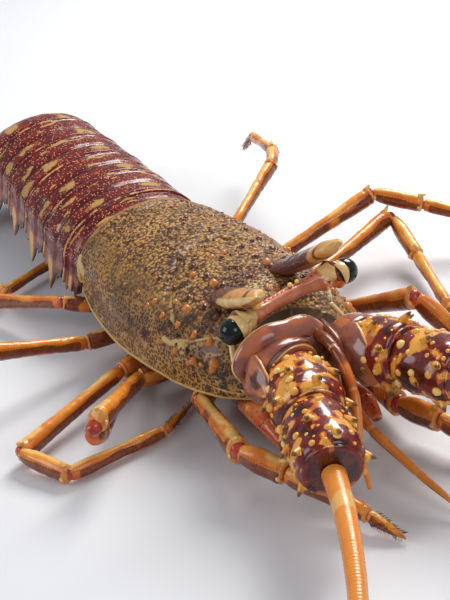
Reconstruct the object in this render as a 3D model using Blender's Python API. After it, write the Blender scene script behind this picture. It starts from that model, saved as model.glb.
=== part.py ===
"""European spiny lobster, raw and whole, lying flat with its legs and antennae spread.

The animal's head points to -Y, its left side to +X, and its underside lies on the ground, z = 0.
Every size is a real one in millimetres; MM turns it into Blender's metres when a mesh is made.
"""
import math
import random

import bmesh
import bpy
from mathutils import Vector

MM = 0.001
GAP = 0.3

# Carapace: stations along Y as (y, shoulder half width, crest height, margin half width, margin height)
CARAPACE_STATIONS = (
    (-76.0, 25.0, 44.0, 25.0, 23.0),
    (-66.0, 31.0, 49.5, 31.0, 21.5),
    (-48.0, 36.5, 52.5, 37.5, 20.0),
    (-20.0, 40.0, 53.0, 42.0, 19.0),
    (5.0, 41.5, 53.5, 44.0, 19.0),
    (35.0, 39.5, 54.0, 42.5, 21.5),
    (56.0, 36.5, 52.5, 38.5, 25.5),
    (68.0, 35.0, 51.0, 35.5, 28.0),
)
SHOULDER_HEIGHT = 27.0
CARAPACE_STEPS = 24
CARAPACE_AROUND = 20
FRONT_RAKE = 17.0
FRONT_RAKE_LENGTH = 34.0
CERVICAL_GROOVE_Y = 6.0
CERVICAL_GROOVE_SWEEP = 50.0
CERVICAL_GROOVE_DEPTH = 1.7
CERVICAL_GROOVE_WIDTH = 3.6
REAR_GROOVE_Y = 60.0
REAR_GROOVE_DEPTH = 1.4
REAR_GROOVE_WIDTH = 1.8
BELLY_ARCH = 2.0
BELLY_INSET = 6.0

# Spines on the carapace: rows as (angle from the crest, first y, last y, pitch, first height, last height)
SPINE_ROWS = (
    (0.0, -38.0, -10.0, 12.0, 3.0, 2.2),
    (17.0, -34.0, 4.0, 12.0, 5.0, 2.6),
    (36.0, -50.0, 10.0, 12.0, 5.2, 2.8),
    (56.0, -56.0, -8.0, 12.0, 5.0, 3.0),
    (76.0, -60.0, -24.0, 12.0, 5.6, 3.6),
)
HIND_SPINES = 12
HIND_SPINE_SIZE = (1.5, 2.4)
SPINE_WIDTH = 0.85
SPINE_AROUND = 4
HORN_BASES = {"R": (-14.0, -42.0, 51.5), "L": (14.5, -40.0, 52.5)}
HORN_TIPS = {"R": (-18.5, -83.0, 69.0), "L": (21.0, -77.0, 74.5)}
HORN_SIZE = (3.9, 7.0)
HORN_SAG = 1.0
HORN_AROUND = 12
HORN_PROFILE = ((0.0, 0.8), (0.3, 0.95), (0.6, 0.9), (0.85, 0.76), (1.0, 0.32))

# Thorax: stations as (y, half width at the ground, half width at the leg bases)
THORAX_STATIONS = ((-74.0, 8.0, 15.0), (-50.0, 12.0, 19.0), (-10.0, 15.0, 22.0), (30.0, 18.0, 25.0),
                   (62.0, 18.0, 25.0))
THORAX_SIDE_HEIGHT = 8.0
THORAX_CLEARANCE = 0.6

# Abdomen: somite lengths from the front, and sizes where it starts and ends
SOMITE_LENGTHS = (15.0, 24.0, 24.5, 24.5, 24.0, 23.0)
ABDOMEN_AXIS_HEIGHT = 28.0
ABDOMEN_WIDTH = (34.5, 27.5)
ABDOMEN_CREST = (22.0, 16.0)
ABDOMEN_DEPTH = (9.0, 7.0)
ABDOMEN_BEND_START = 116.0
ABDOMEN_BEND_STEPS = 40
ABDOMEN_PITCHES = (8.5, -62.0)
SOMITE_RECESS = 1.6
SOMITE_GROOVE = 0.9
SOMITE_AROUND = 12
# Underside of a somite: (share of the half width, share of the depth)
SOMITE_BELLY = ((0.97, 0.6), (0.8, 1.0), (0.0, 1.0), (-0.8, 1.0), (-0.97, 0.6))
PLEURA_DROP = (21.0, 12.0)
PLEURA_SPREAD = 7.0
PLEURA_LENGTH = 0.5
PLEURA_SPIKES = ((0.0, 1.0), (0.25, 0.36), (-0.3, 0.3))
FIRST_PLEURA_SIZE = 0.15
PLEURA_THICKNESS = 3.4
PLEURA_PROFILE = ((-0.25, 1.0), (0.35, 0.8), (1.0, 0.12))
PLEURA_AROUND = 5

# Tail fan: name, side offset, drop below the fan's plane, heading from +Y, length, half widths, thickness
TAIL_PITCH = -34.0
TAIL_START = (0.8, 1.5)
TAIL_LOBE_AROUND = 10
# Outline of a lobe: (place along it, which half width, share of it, share of the thickness)
TAIL_LOBE_PROFILE = ((0.0, 0, 1.0, 1.0), (0.35, 1, 1.0, 0.9), (0.75, 2, 1.0, 0.7), (0.93, 2, 0.72, 0.55),
                     (1.0, 2, 0.3, 0.4))
TAIL_LOBES = (
    ("telson", 0.0, 3.0, 0.0, 48.0, (11.0, 15.0, 13.5), 3.0),
    ("endopod", 13.0, 5.4, 20.0, 45.0, (6.0, 12.0, 11.5), 2.4),
    ("exopod", 17.0, 8.6, 42.0, 47.0, (6.0, 13.5, 13.0), 2.4),
)

# Legs, by number from the front: base place, lengths of the five parts, height and width of the merus
LEG_BASES = {1: (22.0, -34.0, 11.0), 2: (23.0, -13.0, 11.0), 3: (24.0, 8.0, 12.0), 4: (26.0, 29.0, 13.0),
             5: (26.0, 53.0, 13.0)}
LEG_LENGTHS = {1: (18.0, 54.0, 20.0, 36.0, 16.0), 2: (22.0, 60.0, 22.0, 42.0, 22.0),
               3: (24.0, 62.0, 27.0, 45.0, 25.0), 4: (24.0, 56.0, 24.0, 42.0, 22.0),
               5: (24.0, 48.0, 19.0, 40.0, 20.0)}
LEG_SECTIONS = {1: (11.0, 8.6), 2: (9.2, 7.6), 3: (8.6, 7.2), 4: (8.4, 7.0), 5: (7.4, 6.2)}
# Pose of each leg: (heading from +X, pitch) in degrees of ischium, merus, carpus, propodus and dactyl
LEG_POSES = {
    "R1": ((-135, 7), (-101, 7), (-62, -14), (-66, -13), (-69, -17)),
    "R2": ((175, 3), (-130, 16), (69, -42), (52, -7), (54, -17)),
    "R3": ((-168, -3), (-158, -4), (-68, -4), (4, -1), (37, -5)),
    "R4": ((168, -2), (-172, 20), (-146, -7), (-148, -21), (-146, -25)),
    "R5": ((155, 17), (113, -11), (60, -15), (21, 0), (37, -11)),
    "L5": ((28, 31), (35, 13), (59, -3), (77, -9), (85, -38)),
    "L4": ((12, 9), (-1, 14), (-42, -16), (-48, -15), (-38, -27)),
    "L3": ((-8, 7), (19, 5), (-96, -23), (-108, -5), (-103, -7)),
    "L2": ((-20, 5), (-79, 23), (-43, -50), (-75, -16), (-76, -16)),
    "L1": ((-65, -6), (-97, 4), (-75, 0), (-72, -10), (-75, -17)),
}
# Leg profiles: (place along the part, section as a share of the merus)
ISCHIUM_PROFILE = ((0.0, 0.92), (0.6, 0.98), (0.9, 0.92))
MERUS_PROFILE = ((0.06, 0.78), (0.3, 0.8), (0.65, 0.88), (0.9, 1.02), (1.0, 0.92))
CARPUS_PROFILE = ((-0.04, 0.62), (0.2, 0.86), (0.75, 0.95), (0.98, 0.86))
PROPODUS_PROFILE = ((0.04, 0.74), (0.5, 0.66), (0.92, 0.66), (1.0, 0.58))
DACTYL_PROFILE = ((-0.03, 0.46), (0.3, 0.48), (0.75, 0.26), (1.0, 0.06))
LEG_AROUND = 8
DACTYL_AROUND = 5
FOLD_OFFSET = 0.8

# Head: eyes, the bar that carries them, and the paths of the jointed feelers
EYE_PLACES = {"R": (-28.0, -74.0, 54.0), "L": (27.0, -68.0, 56.5)}
EYE_RADIUS = 5.0
EYE_BAR_RADII = ((0.0, 4.4), (0.09, 5.4), (0.18, 4.0), (0.3, 2.8), (0.5, 2.8), (0.7, 3.0), (0.82, 4.4),
                 (0.91, 5.4), (1.0, 4.4))
EYE_BAR_MIDDLE = (0.0, -67.0, 55.0)
EYE_BAR_BOW = 0.6
PEDUNCLE_PATHS = {
    "R": ((-17.5, -79.0, 36.5), (-14.5, -94.0, 37.0), (-23.0, -120.0, 35.0), (-34.0, -150.0, 32.0)),
    "L": ((15.0, -79.5, 34.0), (19.0, -92.0, 35.0), (24.0, -115.0, 39.0), (30.0, -143.0, 41.0)),
}
PEDUNCLE_RADII = {"R": (15.5, 14.2, 13.2), "L": (13.2, 14.2, 13.2)}
PEDUNCLE_FLATNESS = 0.92
PEDUNCLE_PROFILE = ((-0.06, 0.82), (0.12, 0.96), (0.5, 1.0), (0.85, 0.97), (1.0, 0.82))
PEDUNCLE_AROUND = 10
THORN_ROWS = (0.4, 0.75)
THORNS_IN_ROW = 5
THORN_ROOT = 0.86
THORN_SIZE = (4.2, 4.6, 1.7)
FLAGELLUM_LENGTH = 280.0
FLAGELLUM_RADII = (4.6, 0.7)
FLAGELLUM_TURNS = {"R": -40.0, "L": 40.0}
FLAGELLUM_STEPS = 16
ANTENNULE_PATHS = {
    "R": ((0.0, -79.0, 46.0), (1.5, -92.0, 46.0), (-2.0, -114.0, 35.0), (-9.0, -126.0, 18.0),
          (-14.0, -138.0, 9.0)),
    "L": ((6.5, -79.0, 46.0), (6.0, -92.0, 43.0), (1.0, -108.0, 24.0), (4.0, -138.0, 11.0),
          (8.0, -166.0, 3.0)),
}
ANTENNULE_RADII = (2.4, 2.2, 1.6, 1.3, 0.7)
MAXILLIPED_PATHS = {
    "R": ((-22.0, -62.0, 13.0), (-23.5, -72.0, 16.0), (-25.0, -85.0, 16.5), (-26.0, -99.0, 13.0)),
    "L": ((10.0, -76.0, 10.0), (12.5, -82.0, 13.0), (14.0, -91.0, 14.0), (13.0, -103.0, 11.0)),
}
MAXILLIPED_RADII = (3.6, 4.6, 4.0, 2.2)
ROD_AROUND = 8
WHIP_AROUND = 6

COLOURS = {
    "shell": ((0.30, 0.19, 0.06), 0.35),
    "underside": ((0.34, 0.12, 0.05), 0.40),
    "abdomen": ((0.16, 0.03, 0.03), 0.25),
    "leg": ((0.50, 0.20, 0.04), 0.28),
    "feeler": ((0.35, 0.09, 0.04), 0.30),
    "eye": ((0.01, 0.02, 0.015), 0.06),
    "eye_bar": ((0.40, 0.18, 0.10), 0.22),
}


def new_material(name):
    """A material with one colour and roughness from COLOURS."""
    colour, roughness = COLOURS[name]
    material = bpy.data.materials.new(name)
    material.use_nodes = True
    shader = material.node_tree.nodes["Principled BSDF"]
    shader.inputs["Base Color"].default_value = (*colour, 1.0)
    shader.inputs["Roughness"].default_value = roughness
    shader.inputs["Metallic"].default_value = 0.0
    material.diffuse_color = (*colour, 1.0)
    return material


def clear_scene():
    """Remove what the scene holds before the lobster is built."""
    for scene_object in list(bpy.data.objects):
        bpy.data.objects.remove(scene_object, do_unlink=True)


def new_collection(name):
    """A named collection in the scene."""
    collection = bpy.data.collections.new(name)
    bpy.context.scene.collection.children.link(collection)
    return collection


def blend(low, high, share):
    """A value between two others."""
    return low + (high - low) * share


def stations_at(stations, y):
    """Read a table of stations at y, on the straight between neighbours."""
    if y <= stations[0][0]:
        return stations[0][1:]
    for before, after in zip(stations, stations[1:]):
        if y <= after[0]:
            share = (y - before[0]) / (after[0] - before[0])
            return tuple(blend(a, b, share) for a, b in zip(before[1:], after[1:]))
    return stations[-1][1:]


def oval_ring(centre, axis, up, half_width, half_height, count):
    """Points of an oval across an axis, with half_height along up."""
    axis = axis.normalized()
    side = axis.cross(up).normalized()
    rise = side.cross(axis).normalized()
    points = []
    for step in range(count):
        angle = 2 * math.pi * step / count
        points.append(centre + side * half_width * math.cos(angle) + rise * half_height * math.sin(angle))
    return points


def loft(rings):
    """A closed mesh through rings of equally many points, with a fan of faces at each end."""
    mesh = bmesh.new()
    loops = [[mesh.verts.new(Vector(point) * MM) for point in ring] for ring in rings]
    count = len(loops[0])
    for near, far in zip(loops, loops[1:]):
        for step in range(count):
            after = (step + 1) % count
            mesh.faces.new((near[step], near[after], far[after], far[step]))
    for loop in (loops[0], loops[-1]):
        middle = sum((vert.co for vert in loop), Vector()) / count
        tip = mesh.verts.new(middle)
        for step in range(count):
            mesh.faces.new((loop[step], loop[(step + 1) % count], tip))
    bmesh.ops.recalc_face_normals(mesh, faces=mesh.faces)
    return mesh


def add_object(name, mesh, material, collection, origin=(0.0, 0.0, 0.0)):
    """Put a bmesh in the scene as a named object whose own origin stands at a real place."""
    place = Vector(origin) * MM
    bmesh.ops.translate(mesh, verts=mesh.verts, vec=-place)
    data = bpy.data.meshes.new(name)
    mesh.to_mesh(data)
    mesh.free()
    data.materials.append(material)
    data.shade_smooth()
    data.set_sharp_from_angle(angle=math.radians(50))
    built = bpy.data.objects.new(name, data)
    built.location = place
    collection.objects.link(built)
    return built


def hide_cutter(cutter):
    """Mark an object as a tool that only cuts."""
    cutter.hide_render = True
    cutter.display_type = "WIRE"


def cut(target, cutter):
    """Take one object's shape out of another."""
    hide_cutter(cutter)
    boolean = target.modifiers.new("clear of " + cutter.name, "BOOLEAN")
    boolean.operation = "DIFFERENCE"
    boolean.solver = "EXACT"
    boolean.object = cutter


def fuse(target, parts_collection):
    """Join every object of a collection onto the target, apply it and remove the loose pieces."""
    boolean = target.modifiers.new("fused pieces", "BOOLEAN")
    boolean.operation = "UNION"
    boolean.solver = "MANIFOLD"
    boolean.operand_type = "COLLECTION"
    boolean.collection = parts_collection
    evaluated = target.evaluated_get(bpy.context.evaluated_depsgraph_get())
    joined = bpy.data.meshes.new_from_object(evaluated)
    target.modifiers.remove(boolean)
    target.data = joined
    for piece in list(parts_collection.objects):
        bpy.data.objects.remove(piece, do_unlink=True)
    bpy.data.collections.remove(parts_collection)


def carapace_section(y):
    """Shoulder half width, crest height, margin half width and margin height at y."""
    return stations_at(CARAPACE_STATIONS, y)


def carapace_point(y, angle):
    """A point of the carapace: angle 0 is the crest, 90 the left shoulder, 110 the left margin."""
    half_width, crest, margin_width, margin_height = carapace_section(y)
    size = abs(angle)
    side = math.copysign(1.0, angle)
    bend = math.radians(min(size, 90.0))
    reach = math.sin(bend)
    rise = math.cos(bend) if size < 90.0 else 0.0
    x = half_width * reach
    z = SHOULDER_HEIGHT + (crest - SHOULDER_HEIGHT) * rise
    if size > 90.0:
        share = (size - 90.0) / 20.0
        x = blend(half_width, margin_width, share)
        z = blend(SHOULDER_HEIGHT, margin_height, share)
    groove_y = CERVICAL_GROOVE_Y - CERVICAL_GROOVE_SWEEP * (size / 100.0) ** 1.4
    dip = CERVICAL_GROOVE_DEPTH * math.exp(-((y - groove_y) / CERVICAL_GROOVE_WIDTH) ** 2)
    dip += REAR_GROOVE_DEPTH * math.exp(-((y - REAR_GROOVE_Y) / REAR_GROOVE_WIDTH) ** 2)
    x -= dip * reach
    z -= dip * rise
    rake = max(0.0, 1.0 - (y - CARAPACE_STATIONS[0][0]) / FRONT_RAKE_LENGTH)
    height_share = max(0.0, (z - SHOULDER_HEIGHT) / (crest - SHOULDER_HEIGHT))
    return Vector((side * x, y + FRONT_RAKE * rake * height_share, z))


def carapace_ring(y):
    """One section of the carapace: its arc, both margins and the arched inner face."""
    angles = [blend(-90.0, 90.0, step / (CARAPACE_AROUND - 2)) for step in range(CARAPACE_AROUND - 1)]
    angles = [-110.0] + angles + [110.0]
    ring = [carapace_point(y, angle) for angle in angles]
    margin_width, margin_height = carapace_section(y)[2:]
    belly = margin_height + BELLY_ARCH
    ring.append(Vector((margin_width - BELLY_INSET, y, belly)))
    ring.append(Vector((0.0, y, belly)))
    ring.append(Vector((BELLY_INSET - margin_width, y, belly)))
    return ring


def carapace_levels():
    """The y values of the carapace's sections, closer together at the rear rim."""
    front, rear = CARAPACE_STATIONS[0][0], CARAPACE_STATIONS[-1][0]
    rim = REAR_GROOVE_Y - 2 * REAR_GROOVE_WIDTH
    levels = [blend(front, rim, step / CARAPACE_STEPS) for step in range(CARAPACE_STEPS + 1)]
    levels += [REAR_GROOVE_Y, REAR_GROOVE_Y + REAR_GROOVE_WIDTH, rear - 2.0, rear]
    return levels


def add_spine(name, base, tip, radius, collection, material):
    """A sharp spine as a short loft that starts inside what it grows from."""
    axis = tip - base
    up = Vector((0.0, 0.0, 1.0)) if abs(axis.normalized().z) < 0.9 else Vector((0.0, 1.0, 0.0))
    rings = [oval_ring(base + axis * share, axis, up, radius * size, radius * size, SPINE_AROUND)
             for share, size in ((0.0, 1.0), (1.0, 0.12))]
    return add_object(name, loft(rings), material, collection)


def carapace_normal(y, angle):
    """The outward direction of the carapace at a point."""
    along = carapace_point(y + 1.0, angle) - carapace_point(y - 1.0, angle)
    across = carapace_point(y, angle + 2.0) - carapace_point(y, angle - 2.0)
    return across.cross(along).normalized() * -1.0


def spine_places():
    """Every carapace spine as (y, angle, height), rows in front and a seeded scatter behind."""
    places = []
    for angle, first_y, last_y, pitch, first_height, last_height in SPINE_ROWS:
        count = int((last_y - first_y) / pitch) + 1
        for step in range(count):
            share = step / max(count - 1, 1)
            height = blend(first_height, last_height, share)
            for side in ((1,) if angle == 0.0 else (-1, 1)):
                places.append((first_y + pitch * step, side * angle, height))
    draw = random.Random(7)
    for step in range(HIND_SPINES):
        angle = blend(-84.0, 84.0, (step + 0.5) / HIND_SPINES)
        places.append((draw.uniform(10.0, 52.0), angle, draw.uniform(*HIND_SPINE_SIZE)))
    return places


def build_carapace(material, parts):
    """The carapace with its two horns and its larger spines as one solid."""
    shell = add_object("carapace", loft([carapace_ring(y) for y in carapace_levels()]), material, parts)
    spines = new_collection("carapace spines")
    for number, (y, angle, height) in enumerate(spine_places()):
        root = carapace_point(y, angle)
        outward = carapace_normal(y, angle)
        tip = root + outward * height + Vector((0.0, -0.6 * height, 0.0))
        radius = height * SPINE_WIDTH * 0.5 + 0.6
        add_spine(f"spine_{number}", root - outward, tip, radius, spines, material)
    for side, tip in HORN_TIPS.items():
        add_horn("horn_" + side, Vector(HORN_BASES[side]), Vector(tip), spines, material)
    fuse(shell, spines)
    return shell


def add_horn(name, base, tip, collection, material):
    """A broad blade-like horn that rises and narrows to a blunt tip."""
    axis = tip - base
    rings = []
    for share, size in HORN_PROFILE:
        centre = base + axis * share - Vector((0.0, 0.0, HORN_SAG * math.sin(math.pi * share)))
        rings.append(oval_ring(centre, axis, Vector((0.0, 0.0, 1.0)), HORN_SIZE[1] * size,
                               HORN_SIZE[0] * size, HORN_AROUND))
    return add_object(name, loft(rings), material, collection)


def thorax_ring(y, grow=0.0):
    """One section of the thorax, from its flat foot to just under the carapace."""
    foot, side = stations_at(THORAX_STATIONS, y)
    top = carapace_section(y)[3] + BELLY_ARCH - THORAX_CLEARANCE + grow
    foot, side = foot + grow, side + grow
    return [Vector(point) for point in ((-foot, y, -grow), (foot, y, -grow), (side, y, THORAX_SIDE_HEIGHT),
                                        (side, y, top), (-side, y, top), (-side, y, THORAX_SIDE_HEIGHT))]


def thorax_levels(grow=0.0):
    """Sections of the thorax, at the carapace's own levels so that both faces run alike."""
    front, rear = THORAX_STATIONS[0][0], THORAX_STATIONS[-1][0]
    inner = [y for y in carapace_levels()[::3] if front < y < rear]
    return [front - grow] + inner + [rear + grow]


def build_thorax(material, parts):
    """The sternum and sides that carry the legs."""
    return add_object("thorax", loft([thorax_ring(y) for y in thorax_levels()]), material, parts)


def abdomen_frame(distance):
    """Centre, direction and share of the abdomen's bent axis at a distance behind the carapace."""
    total = sum(SOMITE_LENGTHS)
    centre = Vector((0.0, CARAPACE_STATIONS[-1][0] + GAP, ABDOMEN_AXIS_HEIGHT))
    for step in range(ABDOMEN_BEND_STEPS):
        pitch = bend_at(distance * (step + 0.5) / ABDOMEN_BEND_STEPS, total)
        centre += Vector((0.0, math.cos(pitch), math.sin(pitch))) * (distance / ABDOMEN_BEND_STEPS)
    pitch = bend_at(distance, total)
    return centre, Vector((0.0, math.cos(pitch), math.sin(pitch))), distance / total


def bend_at(distance, total):
    """Pitch of the abdomen at a distance along it: rising behind the carapace, then curving down."""
    share = min(max((distance - ABDOMEN_BEND_START) / (total - ABDOMEN_BEND_START), 0.0), 1.0)
    rise = min(distance / SOMITE_LENGTHS[0], 1.0)
    return math.radians(blend(*ABDOMEN_PITCHES, share)) * rise


def somite_ring(distance, inset):
    """One section of the abdomen: an arched back and a flat underside."""
    centre, direction, share = abdomen_frame(distance)
    rise = Vector((0.0, -direction.z, direction.y))
    half_width = blend(ABDOMEN_WIDTH[0], ABDOMEN_WIDTH[1], share ** 1.6) - inset
    crest = blend(ABDOMEN_CREST[0], ABDOMEN_CREST[1], share ** 1.3) - inset
    depth = blend(ABDOMEN_DEPTH[0], ABDOMEN_DEPTH[1], share)
    ring = []
    for step in range(SOMITE_AROUND + 1):
        angle = math.radians(blend(-90.0, 90.0, step / SOMITE_AROUND))
        across = Vector((math.sin(angle) * half_width, 0.0, 0.0))
        ring.append(centre + across + rise * math.cos(angle) * crest)
    for across, low in SOMITE_BELLY:
        ring.append(centre + Vector((across * half_width, 0.0, 0.0)) - rise * depth * low)
    return ring


def build_somite(number, start, length, material, parts):
    """One ring of the abdomen with its pleura drawn out into spikes on both sides."""
    first, last = start + GAP / 2, start + length - GAP / 2
    middle = blend(first, last, 0.5)
    levels = ((first, SOMITE_RECESS), (first + 2.4, SOMITE_RECESS), (first + 3.4, 0.2),
              (middle - 1.0, 0.0), (middle, SOMITE_GROOVE), (middle + 1.0, 0.0), (last, 0.4))
    rings = [somite_ring(distance, inset) for distance, inset in levels]
    origin = abdomen_frame(start)[0]
    somite = add_object(f"abdomen_{number}", loft(rings), material, parts, origin)
    spikes = new_collection("pleura spikes")
    centre, direction, share = abdomen_frame(blend(first, last, 0.55))
    rise = Vector((0.0, -direction.z, direction.y))
    half_width = blend(ABDOMEN_WIDTH[0], ABDOMEN_WIDTH[1], share ** 1.6)
    drop = blend(*PLEURA_DROP, share)
    for side in (-1, 1):
        for place, size in PLEURA_SPIKES:
            size *= FIRST_PLEURA_SIZE if number == 1 else 1.0
            root = centre + Vector((side * (half_width - 1.6), 0.0, 0.0)) + direction * place * length
            tip = root + Vector((side * PLEURA_SPREAD, 0.0, 0.0)) - rise * (drop * size + 2.0)
            half_length = 0.5 * PLEURA_LENGTH * length * (0.45 + 0.55 * size)
            add_pleura(f"spike_{side}_{place}", root, tip, direction, half_length, spikes, material)
    fuse(somite, spikes)
    return somite


def add_pleura(name, root, tip, direction, half_length, collection, material):
    """A flat spike that hangs from the side of a somite."""
    rings = []
    for share, width in PLEURA_PROFILE:
        centre = root + (tip - root) * share
        half_thickness = PLEURA_THICKNESS * 0.5 * (0.3 + 0.7 * width)
        rings.append(oval_ring(centre, tip - root, direction, half_thickness, half_length * width,
                               PLEURA_AROUND))
    add_object(name, loft(rings), material, collection)


def build_tail_lobe(name, side, lobe, material, parts):
    """One flat lobe of the tail fan with a rounded end."""
    _, offset, drop, heading, length, half_widths, thickness = lobe
    end = abdomen_frame(sum(SOMITE_LENGTHS))[0]
    turn = math.radians(heading) * side
    pitch = math.radians(TAIL_PITCH)
    ahead = Vector((0.0, math.cos(pitch), math.sin(pitch)))
    rise = Vector((0.0, -math.sin(pitch), math.cos(pitch)))
    start = end + Vector((side * offset, 0.0, 0.0)) + ahead * TAIL_START[0] + rise * (TAIL_START[1] - drop)
    along = Vector((math.sin(turn), 0.0, 0.0)) + ahead * math.cos(turn)
    rings = [oval_ring(start + along * length * share, along, rise, half_widths[station] * width,
                       thickness * 0.5 * thin, TAIL_LOBE_AROUND)
             for share, station, width, thin in TAIL_LOBE_PROFILE]
    return add_object(name, loft(rings), material, parts, start)


def leg_joints(name):
    """The six joint places of a leg from its base, its lengths and its pose."""
    number = int(name[1])
    point = Vector(LEG_BASES[number])
    point.x = -point.x if name[0] == "R" else point.x
    joints = [point]
    for length, (heading, pitch) in zip(LEG_LENGTHS[number], LEG_POSES[name]):
        heading, pitch = math.radians(heading), math.radians(pitch)
        level = math.cos(pitch)
        step = Vector((level * math.cos(heading), level * math.sin(heading), math.sin(pitch)))
        point = point + step * length
        joints.append(point)
    return joints


def part_rings(start, end, profile, section, around, grow=0.0):
    """Oval sections along one part of a leg."""
    axis = end - start
    up = Vector((0.0, 0.0, 1.0))
    rings = []
    for place, size in profile:
        extra = grow if place >= 0.9 else 0.0
        centre = start + axis * place + axis.normalized() * extra
        half_height, half_width = (full * 0.5 * size + grow for full in section)
        rings.append(oval_ring(centre, axis, up, half_width, half_height, around))
    return rings


def upper_leg(joints, section, grow=0.0):
    """Mesh of the ischium and merus together."""
    rings = part_rings(joints[0], joints[1], ISCHIUM_PROFILE, section, LEG_AROUND, grow)
    rings += part_rings(joints[1], joints[2], MERUS_PROFILE, section, LEG_AROUND, grow)
    return loft(rings)


def knee_socket(joints, section):
    """Where the carpus starts: beside the end of the merus when the leg is folded back on itself."""
    merus = (joints[2] - joints[1]).normalized()
    carpus = (joints[3] - joints[2]).normalized()
    fold = max(0.0, -merus.dot(carpus))
    sideways = (carpus - merus * merus.dot(carpus)).normalized()
    return joints[2] + sideways * fold * section[0] * FOLD_OFFSET


def lower_leg(joints, section, grow=0.0):
    """Mesh of the carpus and propodus together."""
    rings = part_rings(knee_socket(joints, section), joints[3], CARPUS_PROFILE, section, LEG_AROUND, grow)
    rings += part_rings(joints[3], joints[4], PROPODUS_PROFILE, section, LEG_AROUND, grow)
    return loft(rings)


def build_leg(name, thorax_cutter, material, parts, cutters):
    """One walking leg in three solids: ischium and merus, carpus and propodus, and dactyl."""
    joints = leg_joints(name)
    section = LEG_SECTIONS[int(name[1])]
    upper = add_object(f"leg_{name}_merus", upper_leg(joints, section), material, parts, joints[0])
    cut(upper, thorax_cutter)
    upper_cutter = add_object(f"clear_{name}_merus", upper_leg(joints, section, GAP), material, cutters)
    lower = add_object(f"leg_{name}_propodus", lower_leg(joints, section), material, parts, joints[2])
    cut(lower, upper_cutter)
    lower_cutter = add_object(f"clear_{name}_propodus", lower_leg(joints, section, GAP), material, cutters)
    rings = part_rings(joints[4], joints[5], DACTYL_PROFILE, section, DACTYL_AROUND)
    dactyl = add_object(f"leg_{name}_dactyl", loft(rings), material, parts, joints[4])
    cut(dactyl, lower_cutter)


def build_eyes(eye_material, bar_material, parts, cutters):
    """Both eyeballs and the bar with cups that carries them."""
    for side, place in EYE_PLACES.items():
        for name, grow, collection in (("eye_" + side, 0.0, parts), ("clear_eye_" + side, GAP, cutters)):
            mesh = bmesh.new()
            bmesh.ops.create_uvsphere(mesh, u_segments=12, v_segments=8, radius=(EYE_RADIUS + grow) * MM)
            ball = add_object(name, mesh, eye_material, collection)
            ball.location = Vector(place) * MM
    right, left = Vector(EYE_PLACES["R"]), Vector(EYE_PLACES["L"])
    middle = Vector(EYE_BAR_MIDDLE)
    rings = []
    for share, radius in EYE_BAR_RADII:
        straight = right.lerp(left, share)
        sag = (middle - right.lerp(left, 0.5)) * math.sin(math.pi * share) ** EYE_BAR_BOW
        rings.append(oval_ring(straight + sag, left - right, Vector((0.0, 0.0, 1.0)), radius, radius, 8))
    bar = add_object("eye_bar", loft(rings), bar_material, parts, middle)
    for side in EYE_PLACES:
        cut(bar, bpy.data.objects["clear_eye_" + side])
    return bar


def peduncle_mesh(start, end, radius, grow=0.0):
    """One stout part of an antenna, narrower at both joints."""
    axis = end - start
    rings = []
    for share, size in PEDUNCLE_PROFILE:
        reach = grow if share == 1.0 else 0.0
        centre = start + axis * share + axis.normalized() * reach
        rings.append(oval_ring(centre, axis, Vector((0.0, 0.0, 1.0)), radius * size + grow,
                               radius * size * PEDUNCLE_FLATNESS + grow, PEDUNCLE_AROUND))
    return loft(rings)


def add_peduncle_spines(segment, start, end, radius, material):
    """Forward spines round one part of an antenna, joined onto it."""
    spines = new_collection("feeler spines")
    axis = (end - start).normalized()
    up = Vector((0.0, 0.0, 1.0))
    side = axis.cross(up).normalized()
    rise = side.cross(axis)
    for row, share in enumerate(THORN_ROWS):
        for step in range(THORNS_IN_ROW):
            angle = 2 * math.pi * (step + 0.5 * row) / THORNS_IN_ROW
            outward = side * math.cos(angle) + rise * math.sin(angle)
            root = start.lerp(end, share) + outward * (radius * THORN_ROOT)
            tip = root + outward * THORN_SIZE[0] + axis * THORN_SIZE[1]
            add_spine(f"thorn_{row}_{step}", root - outward, tip, THORN_SIZE[2], spines, material)
    fuse(segment, spines)


def build_antenna(side, material, parts, cutters):
    """The three stout parts of an antenna and its long whip."""
    path = [Vector(point) for point in PEDUNCLE_PATHS[side]]
    pairs = list(zip(path, path[1:], PEDUNCLE_RADII[side]))
    for number, (start, end, radius) in enumerate(pairs, 1):
        segment = add_object(f"antenna_{side}_{number}", peduncle_mesh(start, end, radius), material, parts)
        if number == 1:
            continue
        add_peduncle_spines(segment, start, end, radius, material)
        behind = add_object(f"clear_antenna_{side}_{number - 1}", peduncle_mesh(*pairs[number - 2], GAP),
                            material, cutters)
        cut(segment, behind)
    add_whip(side, path, material, parts)


def whip_points(side, path):
    """Points of the whip: it leaves the last part straight and sweeps outwards to the ground."""
    axis = (path[3] - path[2]).normalized()
    heading = math.atan2(axis.y, axis.x)
    point = path[3] + axis * (GAP + 0.5)
    step_length = FLAGELLUM_LENGTH / FLAGELLUM_STEPS
    points = [point]
    fall_from = point.z
    for step in range(FLAGELLUM_STEPS):
        share = (step + 1) / FLAGELLUM_STEPS
        turned = heading + math.radians(FLAGELLUM_TURNS[side]) * share
        point = point + Vector((math.cos(turned), math.sin(turned), 0.0)) * step_length
        point.z = blend(fall_from, 1.6, share * share * (3 - 2 * share))
        points.append(point.copy())
    return points


def add_whip(side, path, material, parts):
    """The flagellum of an antenna as one tapering rod."""
    points = whip_points(side, path)
    rings = []
    for number, point in enumerate(points):
        before, after = points[max(number - 1, 0)], points[min(number + 1, len(points) - 1)]
        share = number / (len(points) - 1)
        radius = blend(*FLAGELLUM_RADII, share ** 0.75)
        rings.append(oval_ring(point, after - before, Vector((0.0, 0.0, 1.0)), radius, radius, WHIP_AROUND))
    add_object(f"flagellum_{side}", loft(rings), material, parts, points[0])


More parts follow.
